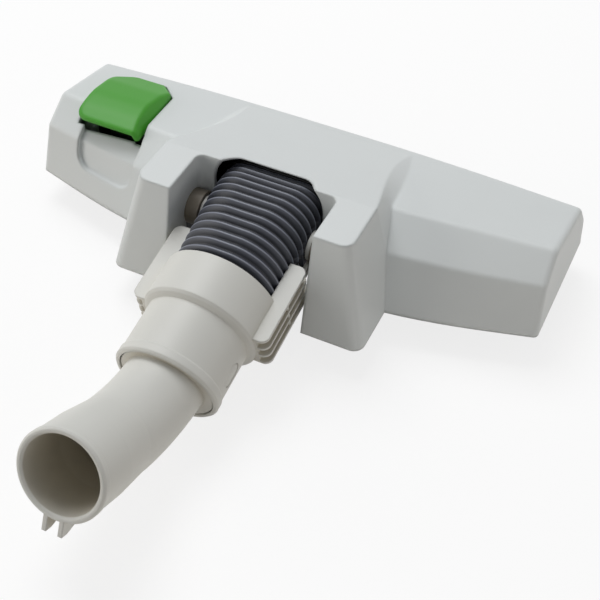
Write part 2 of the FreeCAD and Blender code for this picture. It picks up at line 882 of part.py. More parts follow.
def roller_boxes(name, grow, low, high):
    """A block round each front roller, grown by a thickness."""
    half_x = size("roller_width") / 2 + size("roller_gap") + grow
    half_y = size("roller_radius") + size("roller_gap") + grow
    y = size("roller_y")
    boxes = []
    for side in (-1, 1):
        x = roller_x * side
        boxes.append(box("%s_%d" % (name, side + 1), (x - half_x, y - half_y, low),
                         (x + half_x, y + half_y, high)))
    return boxes


roller_z = sole_bottom - size("roller_drop") + size("roller_radius")
roller_pin_reach = size("roller_width") / 2 + size("roller_gap") + size("roller_wall") / 2


def duct_sections(name, grow):
    """Three rounded outlines of the duct from the hose down to the trough."""
    high, low = size("duct_low_top") + grow, size("duct_low_bottom") - grow
    start = size("hose_front_y") + size("cuff_thick")
    centre, corner = size("hose_front_height"), size("hose_corner") + grow
    half_x, half_z = size("hose_front_half_width") + grow, size("hose_front_half_height") + grow
    outlines = []
    for label, y in (("mouth", start), ("neck", start + size("duct_entry"))):
        outlines.append(rounded_sketch("%s_%s" % (name, label), (0, centre), half_x, half_z, corner,
                                       ON_XZ, 0, y))
    outlines.append(rounded_sketch(name + "_foot", (0, (high + low) / 2), size("duct_half_width") + grow,
                                   (high - low) / 2, size("duct_round") + grow, ON_XZ, 0, size("mouth_rear")))
    return outlines


def make_lower_body():
    """The tray under the cover, with the mouth's ledge, feet, tongues and screw posts."""
    thick = size("base_wall")
    block = extrude("tray_block", tray_outline("tray_plan", sole_level), Z_AXIS, base_top - sole_level)
    cavity_plan = inset("tray_cavity_plan", tray_outline("tray_floor_plan", floor_top), thick)
    cavity = extrude("tray_cavity", cavity_plan, Z_AXIS, size("lobe_top"))
    slab = box("flange_slab", (-far, -far, size("flange_low")), (far, far, base_top))
    depth = wall + size("flange_gap")
    skin = joined("flange_skin", [wings_within("flange_wings", depth), lobes_within("flange_lobes", depth)])
    flange = common("flange_sheet", slab, cut("flange_plan", skin, valley_tool("flange_valley", depth)))

    feet = []
    inner, outer = size("foot_inner"), size("foot_outer")
    rear, front = size("foot_rear"), size("base_rear_waist") + thick
    heel = size("foot_heel")
    foot_view = [
        (rear, base_top),
        (rear, sole_level + heel),
        (rear + heel, sole_level),
        (front, sole_level),
        (front, base_top),
    ]
    for side in (-1, 1):
        start = inner if side > 0 else -outer
        foot_plan = sketch("foot_view_%d" % (side + 1), foot_view, ON_YZ, start)
        feet.append(extrude("foot_%d" % (side + 1), foot_plan, X_AXIS, outer - inner))
    open_tray = cut("tray", joined("tray_and_flange", [block, flange]), cavity)

    rear, front = size("mouth_rear"), size("mouth_front")
    roof = size("trough_top")
    air = box("mouth_air", (-mouth_x, rear, sole_level - OVER), (mouth_x, front, roof))
    trough = box("mouth_ledge", (-mouth_x - thick, rear - thick, sole_level),
                 (mouth_x + thick, front + thick, floor_top))

    roller_roof = roller_z + size("roller_radius") + size("roller_gap")
    blocks = roller_boxes("roller_block", size("roller_wall"), sole_level, roller_roof + size("roller_wall"))
    wells = roller_boxes("roller_well", zero, sole_level - OVER, roller_roof)
    columns = at_bosses("column", size("boss_radius"), sole_level, base_top)
    tongues = []
    inside = size("valley_half_width") + size("cuff_gap")
    half = size("bush_radius") - size("cuff_gap")
    for side in (-1, 1):
        plate = (inside, inside + size("tongue_thick"))
        step = (inside, inner + thick)
        for label, (near, away), top in (("tongue", plate, pivot_z), ("tongue_foot", step, base_top)):
            start, end = (near, away) if side > 0 else (-away, -near)
            low_corner = (start, pivot_y - half, size("flange_low"))
            tongues.append(box("%s_%d" % (label, side + 1), low_corner, (end, pivot_y + half, top)))
    solid = joined("lower_body_solid", [open_tray, trough] + feet + blocks + columns + tongues)

    bores = [cylinder("bush_seat", size("bush_radius"), far * 2, -far, pivot_y, pivot_z, ALONG_X)]
    for side in (-1, 1):
        start = inner + size("axle_land") if side > 0 else -outer - OVER
        length = outer - inner + OVER - size("axle_land")
        bores.append(cylinder("wheel_bore_%d" % (side + 1), size("wheel_axle_radius"), length,
                              start, wheel_y, wheel_z, ALONG_X))
        bores.append(cylinder("roller_bore_%d" % (side + 1), size("roller_pin_radius"),
                              roller_pin_reach * 2, roller_x * side - roller_pin_reach,
                              size("roller_y"), roller_z, ALONG_X))
    head_top = sole_level + size("screw_head_thick") + size("screw_gap")
    holes = at_bosses("head_hole", size("screw_head_radius") + size("screw_gap"), sole_level - OVER, head_top)
    shanks = at_bosses("shank_hole", size("screw_radius") + size("screw_gap"), head_top - OVER, base_top + OVER)
    voids = [air] + wheel_slots() + strip_slots("floor_slot", sole_level - OVER, floor_top + OVER)
    voids += wells + bores + holes + shanks
    keep("lower_body", cut("lower_body", solid, joined("lower_body_voids", voids)))


def make_air_path():
    """The trough over the mouth and the duct from it to the hose, as two pieces."""
    thick, roof = size("base_wall"), size("trough_top")
    rear, front = size("mouth_rear"), size("mouth_front")
    block = box("trough_block", (-mouth_x - thick, rear - thick, floor_top),
                (mouth_x + thick, front + thick, roof + thick))
    air = box("trough_air", (-mouth_x, rear, floor_top - thick), (mouth_x, front, roof))
    high, low = size("duct_low_top") - size("duct_wall"), size("duct_low_bottom") + size("duct_wall")
    duct_half = size("duct_half_width") - size("duct_wall")
    door_plan = rounded_sketch("duct_door_plan", (0, (high + low) / 2), duct_half, (high - low) / 2,
                               size("duct_round") - size("duct_wall"), ON_XZ, 0, rear - thick * 2)
    door = extrude("duct_door", door_plan, Y_AXIS, thick * 3)
    rollers = roller_boxes("trough_roller", size("roller_wall"), floor_top, roof + thick)
    keep("air_trough", cut("air_trough", block, joined("trough_voids", [air, door] + rollers)))
    duct = loft("duct_block", duct_sections("duct", zero), True)
    duct_air = loft("duct_air", duct_sections("duct_air", -size("duct_wall")), True)
    beyond = box("duct_beyond", (-far, rear - thick, -far), (far, far, far))
    keep("air_duct", cut("air_duct", duct, joined("duct_voids", [duct_air, beyond])))


def make_sole():
    """The thin plate that faces the floor, with its slots."""
    plan = inset("sole_plan", tray_outline("sole_outline", sole_bottom), size("sole_inset"))
    plate = extrude("sole_blank", plan, Z_AXIS, size("sole_thick"))
    low, high = sole_bottom - OVER, sole_level + OVER
    mouth = box("sole_mouth", (-mouth_x, size("mouth_rear"), low), (mouth_x, size("mouth_front"), high))
    screws = at_bosses("sole_hole", size("screw_head_radius") + size("screw_gap") * 2, low, high)
    slots = [mouth] + strip_slots("sole_slot", low, high) + roller_boxes("sole_roller", zero, low, high)
    keep("sole_plate", cut("sole_plate", plate, joined("sole_slots", slots + screws)))
    pad, rib = size("lint_width") / 2, size("lint_rib_width") / 2
    pad_low = sole_bottom - size("lint_thick")
    rib_low = pad_low - size("lint_rib_rise")
    rear, front = size("mouth_rear") - size("lint_offset"), size("mouth_front") + size("lint_offset")
    for label, y in (("rear", rear), ("front", front)):
        name = "lint_strip_%s" % label
        nap = box(name + "_pad", (-strip_x, y - pad, pad_low), (strip_x, y + pad, sole_bottom))
        ridge = box(name + "_rib", (-strip_x, y - rib, rib_low), (strip_x, y + rib, sole_bottom))
        keep(name, joined(name, [nap, ridge]))


def make_screws():
    """Four identical screws, driven up through the lower body into the cover."""
    head_low = sole_level + size("screw_gap")
    head_top = head_low + size("screw_head_thick")
    heads = at_bosses("screw_head", size("screw_head_radius"), head_low, head_top)
    shanks = at_bosses("screw_shank", size("screw_radius"), head_low, head_low + size("screw_length"))
    drives = at_bosses("screw_driver", size("screw_drive_radius"), head_low - OVER,
                       head_low + size("screw_drive_depth"))
    keep("screws", cut("screws", joined("screw_blanks", heads + shanks), joined("screw_drives", drives)))


def make_lift():
    """The frame that carries both bristle strips up and down, and its post."""
    low, high = floor_top, floor_top + size("lift_bar_thick")
    near = mouth_x + size("base_wall") + size("lift_link_gap")
    away = near + size("lift_link_width")
    rear, front = size("strip_rear_y"), size("strip_front_y")
    half = size("lift_bar_width") / 2
    parts = []
    for label, y in (("rear", rear), ("front", front)):
        parts.append(box("lift_bar_" + label, (-away, y - half, low), (away, y + half, high)))
    for side in (-1, 1):
        start, end = (near, away) if side > 0 else (-away, -near)
        parts.append(box("lift_link_%d" % (side + 1), (start, rear, low), (end, front, high)))
    x, width, depth = lift_post_x, size("lift_post_width") / 2, size("lift_post_depth") / 2
    slot_z = size("lift_pin_radius") + size("lift_pin_gap")
    slot_y = slot_z + size("lift_pin_gap") * 2
    top = pedal_axle_z + slot_z + size("pedal_rib_thick")
    parts.append(box("lift_post", (x - width, lift_pin_y - depth, low), (x + width, lift_pin_y + depth, top)))
    slot = box("lift_slot", (x - width * 2, lift_pin_y - slot_y, pedal_axle_z - slot_z),
               (x + width * 2, lift_pin_y + slot_y, pedal_axle_z + slot_z))
    keep("lift_frame", cut("lift_frame", joined("lift_solid", parts), slot))


def make_bristles(label):
    """A holder with a row of tufts that just touch the floor."""
    y = size("strip_%s_y" % label)
    half_y = size("strip_width") / 2
    parts = [box("holder_" + label, (-strip_x, y - half_y, sole_bottom), (strip_x, y + half_y, floor_top))]
    pitch, wide, deep = size("tuft_pitch"), size("tuft_width") / 2, size("tuft_depth") / 2
    count = int(2 * strip_x.number / pitch.number)
    for index in range(count):
        x = pitch * (index - (count - 1) / 2)
        parts.append(box("tuft_%s_%d" % (label, index), (x - wide, y - deep, -ride),
                         (x + wide, y + deep, sole_bottom)))
    name = "bristle_strip_" + label
    keep(name, joined(name, parts))


def pedal_profile(name, sink, low):
    """The pedal's side view, arched along its top."""
    tops = [(size("pedal_tip"), size("pedal_rear_height"))]
    for part in ("hip", "crest", "knee"):
        tops.append((size("pedal_%s_y" % part), size("pedal_%s_height" % part)))
    tops.append((size("pedal_front") + size("pedal_gap"), size("pedal_front_height")))
    rear, front = size("pedal_tip") - sink, size("pedal_front") + size("pedal_gap") + sink
    corners = [(rear, low), (front, low), (front, tops[-1][1] - sink)]
    corners += [(y, z - sink) for y, z in reversed(tops[1:-1])] + [(rear, tops[0][1] - sink)]
    solid = extrude(name + "_side", sketch(name + "_profile", corners, ON_YZ, -far), X_AXIS, far)
    folds = [number(y) for y, z in tops[1:-1]]

    def fold_line(edge):
        return span(edge, "x") > LOOSE and min(abs(middle_of(edge).y - fold) for fold in folds) < TIGHT

    return rounded(name + "_arch", solid, size("pedal_arch_round"), fold_line)


def pedal_lean(name, shift):
    """The wedge that makes the pedal's right side lean inward."""
    right, base, high = pedal_right - shift, size("pedal_lean_height"), size("lobe_top")
    corners = [
        (right, base),
        (right + wall * 3, base),
        (right + wall * 3, high),
        (right - (high - base) * size("pedal_lean"), high),
    ]
    rear, front = size("pedal_tip") - wall * 3, size("pedal_front") - size("pedal_corner")
    run = front.number - size("pedal_tip").number
    slant = FreeCAD.Vector(-size("pedal_skew").number, run, 0).normalize()
    return extrude(name, sketch(name + "_face", corners, ON_XZ, 0, size("pedal_tip")), slant, run * 2, wall * 6)


def make_pedal():
    """The rocker pedal: a thin arched cap with two ribs and the pin that lifts the frame."""
    thick = size("pedal_wall")
    foot = pedal_axle_z - size("pedal_hub_radius")
    tip, tooth = size("pedal_tip"), size("pedal_tooth_y")
    skirt_low = size("pedal_skirt_height")
    outline = pedal_plan("pedal_outline", zero, tip, foot)
    blank = extrude("pedal_blank", outline, Z_AXIS, size("lobe_top"))
    corner_limit = number(pedal_left + size("pedal_corner")) + LOOSE
    soft = rounded("pedal_corners", blank, size("pedal_plan_round"),
                   lambda edge: span(edge, "z") > LOOSE and middle_of(edge).x < corner_limit)
    capped = common("pedal_capped", soft, pedal_profile("pedal", zero, foot))
    outside = cut("pedal_outside", capped, pedal_lean("pedal_wedge", zero))

    def rim(edge):
        point = middle_of(edge)
        wide = span(edge, "x") > number(size("pedal_width")) / 2
        crossing = wide and tip.number + LOOSE < point.y < number(size("pedal_front")) - LOOSE
        upright = span(edge, "x") < EXACT and span(edge, "y") < EXACT
        fold = abs(point.z - number(size("pedal_lean_height"))) < TIGHT and span(edge, "z") < TIGHT
        above = point.z > number(size("pedal_front_height")) - LOOSE
        return above and not (crossing or upright or fold)

    cap = rounded("pedal_cap", outside, size("pedal_edge_round"), rim)
    under_foot = foot - OVER
    inner_plan = pedal_plan("pedal_inner_plan", -thick, tip - thick * 2, under_foot)
    inner = extrude("pedal_inner", inner_plan, Z_AXIS, size("lobe_top"))
    under = pedal_profile("pedal_under", thick, under_foot)
    hollow = common("pedal_hollow", inner, under)
    behind_box = box("pedal_behind", (-far, tip - thick * 3, under_foot), (0, tooth, size("lobe_top")))
    behind = common("pedal_overhang", behind_box, under)
    end = size("pedal_front") + thick
    tooth_high = size("pedal_tooth_height")
    skirt_corners = [
        (tooth - OVER, under_foot),
        (end, under_foot),
        (end, skirt_low),
        (tooth + tooth_high - skirt_low, skirt_low),
        (tooth - OVER, tooth_high + OVER),
    ]
    skirts = extrude("pedal_below", sketch("pedal_skirt_line", skirt_corners, ON_YZ, -far), X_AXIS, far)
    spaces = joined("pedal_voids", [hollow, behind, skirts])
    voids = cut("pedal_spaces", spaces, pedal_lean("pedal_inner_wedge", thick))

    hub, pin = size("pedal_hub_radius"), size("lift_pin_radius")
    around = pin + size("lift_pin_wall")
    rib_corners = [
        (pedal_axle_y - size("pedal_rib_reach"), size("lobe_top")),
        (pedal_axle_y - hub, foot),
        (pedal_axle_y + hub, foot),
        (lift_pin_y - pin * 2, pedal_axle_z - around),
        (lift_pin_y + around, pedal_axle_z - around),
        (lift_pin_y + around, size("lobe_top")),
    ]
    rib_thick = size("pedal_rib_thick")
    clear = size("lift_post_width") / 2 + size("pedal_rib_gap")
    ribs = []
    for label, start in (("left", lift_post_x - clear - rib_thick), ("right", lift_post_x + clear)):
        rib_line = sketch("pedal_rib_line_" + label, rib_corners, ON_YZ, start)
        ribs.append(extrude("pedal_rib_" + label, rib_line, X_AXIS, rib_thick))
    lift_pin = cylinder("lift_pin", pin, clear * 2 + rib_thick, lift_post_x - clear - rib_thick / 2,
                        lift_pin_y, pedal_axle_z, ALONG_X)
    open_cap = cut("pedal_open", cap, cut("pedal_room", voids, joined("pedal_ribs", ribs)))
    bore = cylinder("pedal_bore", size("pedal_axle_radius") + running, far,
                    -far, pedal_axle_y, pedal_axle_z, ALONG_X)
    keep("pedal", cut("pedal", joined("pedal_with_pin", [open_cap, lift_pin]), bore))
    left, right = cheek_places()
    axle = cylinder("pedal_axle", size("pedal_axle_radius"), right - left + wall)
    keep("pedal_axle", axle, left - wall / 2, pedal_axle_y, pedal_axle_z, ALONG_X)


def make_wheels():
    """Rear wheels with their axles, and the front rollers with their pins."""
    half, radius, hub = size("wheel_width") / 2, size("wheel_radius"), size("wheel_hub_radius")
    dish, rim, bevel = size("wheel_dish"), size("wheel_radius") - size("wheel_rim"), size("wheel_chamfer")
    bore = size("wheel_axle_radius") + running
    side_view = [(half, bore), (half, hub), (half - dish, hub), (half - dish, rim), (half, rim),
                 (half, radius - bevel), (half - bevel, radius)]
    wheel_view = side_view + [(-along, out) for along, out in reversed(side_view)]
    inner, outer, land = size("foot_inner"), size("foot_outer"), size("axle_land")
    roller_half, roller, edge = size("roller_width") / 2, size("roller_radius"), size("wheel_chamfer")
    roller_bore = size("roller_pin_radius") + running
    roller_side = [(roller_half, roller_bore), (roller_half, roller - edge), (roller_half - edge, roller)]
    roller_view = roller_side + [(-along, out) for along, out in reversed(roller_side)]
    for label, side in (("left", -1), ("right", 1)):
        wheel = revolve("wheel_" + label, wheel_view)
        keep("wheel_" + label, wheel, wheel_x * side, wheel_y, wheel_z, ACROSS)
        start = inner + land if side > 0 else -outer + land
        axle = cylinder("wheel_axle_" + label, size("wheel_axle_radius"), outer - inner - land * 2)
        keep("wheel_axle_" + label, axle, start, wheel_y, wheel_z, ALONG_X)
        x, y = roller_x * side, size("roller_y")
        keep("roller_" + label, revolve("roller_" + label, roller_view), x, y, roller_z, ACROSS)
        pin = cylinder("roller_pin_" + label, size("roller_pin_radius"), roller_pin_reach * 2)
        keep("roller_pin_" + label, pin, x - roller_pin_reach, y, roller_z, ALONG_X)


def make_bushes():
    """Flanged bushes in the lobes' slots, in which the neck's pins turn."""
    near = size("valley_half_width")
    collar, body = size("bush_radius") + size("bush_flange"), size("bush_radius")
    bore, away = size("pin_radius") + size("pin_gap"), near + wall
    start = web_face + size("hub_gap")
    view = [(start, bore), (start, collar), (near, collar),
            (near, body), (away, body), (away, bore)]
    right = revolve("pivot_bush_right", view)
    left = revolve("pivot_bush_left", [(-along, out) for along, out in view])
    keep("pivot_bush_right", right, zero, pivot_y, pivot_z, ACROSS)
    keep("pivot_bush_left", left, zero, pivot_y, pivot_z, ACROSS)


neck_end = size("neck_length") + size("lip_overhang")
rib_bore = size("journal_radius") + running
clip_rear = -(size("rib_front") - running)
clip_front = clip_rear + size("clip_thick")
collar_step = -neck_end + size("collar_depth")
ring_seat = -size("ring_seat")


def latch_oval(name, start, length, gap=zero):
    """The oval outline of a swivel latch, pushed outward through the collar."""
    half, reach = size("latch_half_width") - gap, size("latch_half_length") - gap
    plan = rounded_sketch(name + "_plan", (-size("latch_y"), 0), reach, half, half - running, ON_YZ, start)
    return extrude(name, plan, X_AXIS, length)


def make_yoke():
    """The collar, the big ring round the hose and the two finned arms, in one."""
    collar = size("flange_radius") + size("swivel_gap")
    sleeve, lip = size("sleeve_radius"), size("lip_radius")
    bore, ring, edge = size("sleeve_bore"), size("ring_radius"), size("lip_round")
    rib_front, rib_rear = -size("rib_front"), -size("rib_front") - size("rib_thick")
    step = (size("shoulder_rear") - size("ring_rear")) / 2
    swell = (sleeve + ring * 2) / 3
    view = [
        (-neck_end, collar),
        (-neck_end, lip - edge),
        (-neck_end + edge, lip),
        (-neck_end + size("lip_length") - edge, lip),
        (-neck_end + size("lip_length"), sleeve),
        (-size("shoulder_rear"), sleeve),
        (-size("shoulder_rear") + step, swell),
        (-size("ring_rear"), ring),
        (-size("ring_front"), ring),
        (-size("ring_front"), size("ring_bore")),
        (ring_seat, size("ring_bore")),
        (ring_seat, bore),
        (rib_front, bore),
        (rib_front, rib_bore),
        (rib_rear, rib_bore),
        (rib_rear, bore),
        (collar_step, bore),
        (collar_step, collar),
    ]
    body = revolve("yoke_turned", view)
    inner, outer, web = size("arm_inner"), arm_outer, size("arm_web")
    top, bottom, fin = size("arm_top"), size("arm_bottom"), size("arm_fin_thick")
    rear, front, end = -size("arm_rear"), -size("arm_front"), size("arm_end_radius")
    strap = -size("strap_drop")
    side_view = [(rear, bottom), (front, bottom), (-end / 2, -end), (zero, -end), (zero, strap),
                 (front, strap), (front, top), (rear, top)]
    pin_reach = size("valley_half_width") + wall - size("swivel_gap") - inner
    rib_y = -size("arm_rib_y")
    parts = [
        extrude("arm_web", sketch("arm_web_line", side_view, ON_YZ, inner), X_AXIS, web),
        cylinder("arm_end", end, web, inner, 0, 0, ALONG_X),
        cylinder("arm_pin", size("pin_radius"), pin_reach, inner, 0, 0, ALONG_X),
        box("arm_rib", (inner, rib_y - fin / 2, bottom), (outer - fin / 2, rib_y + fin / 2, top)),
    ]
    count = int(number(size("arm_fin_count")))

    def outer_corner(edge):
        return span(edge, "z") > LOOSE and middle_of(edge).x > number(outer) - LOOSE

    for index in range(count):
        level = bottom + (top - bottom - fin) / (count - 1) * index
        plate = box("arm_fin_%d" % index, (inner - web, rear, level), (outer, front, level + fin))
        parts.append(rounded("arm_fin_soft_%d" % index, plate, size("arm_round"), outer_corner))
    arms = both_sides("arms", joined("arm", parts))
    length = size("neck_length")
    hose_room = cylinder("arm_clear", size("ring_bore"), length, 0, ring_seat, 0, ALONG_Y)
    sleeve_room = cylinder("sleeve_clear", sleeve - OVER, length, 0, -length, 0, ALONG_Y)
    clear = cut("arms_clear", arms, joined("arm_clears", [hose_room, sleeve_room]))
    whole = joined("yoke_whole", [body, clear])
    window = latch_oval("latch_window", bore - size("latch_relief"), bore)
    keep_on_neck("yoke", cut("yoke", whole, both_sides("latch_windows", window)))


def make_swivel():
    """The latches, clip and seal that hold the elbow in the collar."""
    bore, length = size("sleeve_bore"), size("neck_length")
    sunk = size("sleeve_radius") - size("latch_sink")
    for label in ("right", "left"):
        oval = latch_oval("latch_%s_oval" % label, bore - wall, wall * 3, size("latch_gap"))
        face = cylinder("latch_%s_face" % label, sunk, length, 0, -neck_end, 0, ALONG_Y)
        back = cylinder("latch_%s_back" % label, bore, length, 0, -neck_end, 0, ALONG_Y)
        tab = cut("latch_%s_tab" % label, common("latch_%s_cap" % label, oval, face), back)
        keep_on_neck("swivel_latch_" + label, tab if label == "right" else mirrored("latch_left_turned", tab))
    inside, outside = size("journal_radius") - size("clip_groove"), size("clip_radius")
    ring = revolve("clip_ring", [(clip_rear, inside), (clip_rear, outside),
                                 (clip_front, outside), (clip_front, inside)])
    gap = size("clip_gap") / 2
    mouth = box("clip_mouth", (-gap, clip_rear - OVER, -far), (gap, clip_front + OVER, 0))
    keep_on_neck("swivel_clip", cut("swivel_clip", ring, mouth))
    seal_front = collar_step + size("seal_thick")
    seal = revolve("swivel_seal", [(collar_step, rib_bore), (collar_step, bore),
                                   (seal_front, bore), (seal_front, rib_bore)])
    keep_on_neck("swivel_seal", seal)


def straight_piece(thing):
    """Put a piece drawn along the neck at the start of the elbow's straight end."""
    along, up = bend_end()
    return place(thing, 0, along, up, FreeCAD.Rotation(X_AXIS, -number(size("elbow_angle"))))


def bend_piece(name, radius):
    """The curved run of the elbow at a radius."""
    ring = doc.addObject("Part::Torus", name)
    bind(ring, "Radius1", size("elbow_bend"))
    bind(ring, "Radius2", radius)
    ring.Angle1, ring.Angle2 = -180, 180
    bind(ring, "Angle3", size("elbow_angle"))
    turn = FreeCAD.Rotation(-Z_AXIS, -Y_AXIS, -X_AXIS, "XYZ")
    return place(ring, 0, size("elbow_lead") - size("neck_length"), size("elbow_bend"), turn)


def make_elbow():
    """The swivelling elbow: journal, flange, bend, socket and guide fins."""
    start = size("elbow_lead") - size("neck_length")
    journal, groove = size("journal_radius"), size("journal_radius") - size("clip_groove")
    front = -size("neck_length") + size("journal_reach")
    flange, rear = size("flange_radius"), -size("neck_length") - size("flange_overhang")
    flange_front = rear + size("flange_thick")
    edge, soft = size("lip_round"), size("flange_edge")
    view = [(rear, zero), (rear, flange - soft), (rear + soft, flange), (flange_front, flange),
            (flange_front, journal), (clip_rear, journal), (clip_rear, groove), (clip_front, groove),
            (clip_front, journal), (front, journal), (front, zero)]
    run, tube, band = size("elbow_straight"), size("elbow_radius"), size("socket_radius")
    band_start = -(run - size("socket_length"))
    rim, rise = -run + size("rim_length"), size("rim_rise")
    end_view = [(zero, zero), (zero, tube), (band_start, band), (rim + rise, band), (rim, band + rise),
                (-run + edge, band + rise), (-run, band + rise - edge), (-run, zero)]
    bore, socket, step = size("elbow_bore"), size("socket_bore"), -(run - size("socket_depth"))
    bore_view = [(zero, zero), (zero, bore), (step, socket), (-run + edge, socket),
                 (-run - edge, socket + edge * 2), (-run - edge, zero)]
    fins = []
    root, drop, length = band - edge, band + size("guide_fin_drop"), size("guide_fin_length")
    outline = [(-run, -root), (-run, -drop), (-run + size("guide_fin_foot"), -drop), (-run + length, -root)]
    for side in (-1, 1):
        x = size("guide_fin_spread") * side - size("guide_fin_thick") / 2
        line = sketch("guide_fin_line_%d" % (side + 1), outline, ON_YZ, x)
        fins.append(extrude("guide_fin_%d" % (side + 1), line, X_AXIS, size("guide_fin_thick")))
    end = straight_piece(joined("elbow_end", [revolve("elbow_straight_run", end_view)] + fins))
    solid = joined("elbow_solid", [revolve("elbow_journal", view), bend_piece("elbow_bend_run", tube), end])
    air = joined("elbow_air", [
        cylinder("elbow_inlet", bore, size("journal_reach"), 0, start, 0, ALONG_Y),
        bend_piece("elbow_bend_air", bore),
        straight_piece(revolve("elbow_straight_air", bore_view)),
    ])
    keep_on_neck("elbow", cut("elbow", solid, air))


def make_cuffs():
    """The stiff ends of the hose: one on the yoke's inner shoulder, one in the duct."""
    thick, gap, spigot = size("cuff_thick"), size("cuff_gap"), size("cuff_spigot")
    bore, inside, outside = size("cuff_bore"), size("sleeve_bore") - gap, size("ring_bore") - gap
    view = [(ring_seat - spigot, bore), (ring_seat - spigot, inside), (ring_seat, inside),
            (ring_seat, outside), (ring_seat + thick, outside), (ring_seat + thick, bore)]
    keep_on_neck("hose_rear_cuff", revolve("hose_rear_cuff", view))
    y, z = size("hose_front_y"), size("hose_front_height")
    wide, high, corner = size("hose_front_half_width"), size("hose_front_half_height"), size("hose_corner")
    inner = size("duct_wall") + gap
    flange_plan = rounded_sketch("front_cuff_plan", (0, z), wide, high, corner, ON_XZ, 0, y)
    flange = extrude("front_cuff_flange", flange_plan, Y_AXIS, thick)
    plug_plan = rounded_sketch("front_plug_plan", (0, z), wide - inner, high - inner, corner - inner,
                               ON_XZ, 0, y)
    plug = extrude("front_plug", plug_plan, Y_AXIS, thick + size("duct_entry") - gap)
    deep = inner + thick
    hole_plan = rounded_sketch("front_hole_plan", (0, z), wide - deep, high - deep, corner - deep,
                               ON_XZ, 0, y - OVER)
    hole = extrude("front_hole", hole_plan, Y_AXIS, thick + size("duct_entry") + OVER * 2)
    keep("hose_front_cuff", cut("hose_front_cuff", joined("front_cuff_solid", [flange, plug]), hole))


def hose_outline(share, depth):
    """One ring of the hose at a share of the way, a depth below its crests."""
    droop = math.radians(number(size("neck_droop")))
    behind = number(size("ring_seat") - size("cuff_thick"))
    start = (number(pivot_y) - behind * math.cos(droop), number(pivot_z) - behind * math.sin(droop))
    end = (number(size("hose_front_y")), number(size("hose_front_height")))
    lead, lag = number(size("hose_lead")), number(size("hose_lag"))
    leave = (start[0] + lead * math.cos(droop), start[1] + lead * math.sin(droop))
    arrive = (end[0] - lag, end[1])
    rest = 1 - share
    weights = (rest ** 3, 3 * rest ** 2 * share, 3 * rest * share ** 2, share ** 3)
    y = sum(weight * point[0] for weight, point in zip(weights, (start, leave, arrive, end)))
    z = sum(weight * point[1] for weight, point in zip(weights, (start, leave, arrive, end)))
    late, wider = share ** number(size("hose_flatten")), share ** number(size("hose_widen"))
    flat = number(size("hose_flat"))
    radius = number(size("hose_radius"))
    wide = radius + (number(size("hose_front_half_width")) - radius) * wider - depth
    high = radius + (number(size("hose_front_half_height")) - radius) * late - depth
    bend = (radius - flat) + (number(size("hose_corner")) - radius + flat) * wider - depth
    lean = FreeCAD.Rotation(X_AXIS, math.degrees(droop) * (1 - share ** 2) + 90)
    seat = FreeCAD.Placement(FreeCAD.Vector(0, y, z), lean)
    edges = []
    corner_points = []
    for quarter, (side_x, side_y) in enumerate(((1, 1), (-1, 1), (-1, -1), (1, -1))):
        middle = FreeCAD.Vector((wide - bend) * side_x, (high - bend) * side_y, 0)
        begin = quarter * math.pi / 2
        arc = Part.ArcOfCircle(Part.Circle(middle, Z_AXIS, bend), begin, begin + math.pi / 2)
        corner_points.append((arc.toShape(), arc.StartPoint, arc.EndPoint))
    for quarter in range(4):
        arc, begin, finish = corner_points[quarter]
        ahead = corner_points[(quarter + 1) % 4][1]
        edges += [arc, Part.makeLine(finish, ahead)]
    ring = Part.Wire(edges)
    ring.Placement = seat
    return ring


def make_hose():
    """The bellows, as rings of crests and grooves from the yoke to the duct."""
    rings = int(number(size("hose_rings")))
    groove, thin = number(size("hose_groove")), number(size("hose_wall"))
    crest = number(size("hose_crest")) / 2
    stations = []
    for index in range(rings):
        middle = index + 0.5
        stations.append((index / rings, groove))
        stations.append(((middle - crest) / rings, 0.0))
        stations.append(((middle + crest) / rings, 0.0))
    stations.append((1.0, groove))
    outer = Part.makeLoft([hose_outline(share, depth) for share, depth in stations], True, True)
    inner = Part.makeLoft([hose_outline(share, depth + thin) for share, depth in stations], True, True)
    hose = doc.addObject("Part::Feature", "hose")
    hose.Shape = outer.cut(inner)
    keep("hose", hose)


make_cover()
make_lower_body()
make_air_path()
make_sole()
make_screws()
make_lift()
make_bristles("rear")
make_bristles("front")
make_pedal()
make_wheels()
make_bushes()
make_yoke()
make_swivel()
make_elbow()
make_cuffs()
make_hose()
doc.recompute()

faults = []
for thing in doc.Objects:
    if "Invalid" in thing.State or "Error" in thing.State:
        faults.append("%s %s" % (thing.Name, thing.State))
for piece in pieces:
    if piece.Shape.isNull() or not piece.Shape.isValid() or not piece.Shape.Solids:
        faults.append("%s has no sound shape" % piece.Label)
for fault in faults:
    print("FAULT", fault)
if faults:
    raise RuntimeError("nothing is written, because some pieces failed")
os.makedirs("parts", exist_ok=True)
for piece in pieces:
    piece.Shape.exportStep("parts/%s.step" % piece.Label)
    print("%-18s solids %2d  volume %9.1f" % (piece.Label, len(piece.Shape.Solids), piece.Shape.Volume))
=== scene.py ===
# %% [markdown]
# A vacuum floor head, dressed for a picture.
# The measured solids come in as a fixed frame, in metres. Nothing here moves them.
# This script gives each of them a finish, and makes new pieces where a plain
# solid can't carry the look: the bellows hose, the bristles and the lint nap.

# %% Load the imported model
import json
import math

import bmesh
import bpy
from mathutils import Matrix, Vector


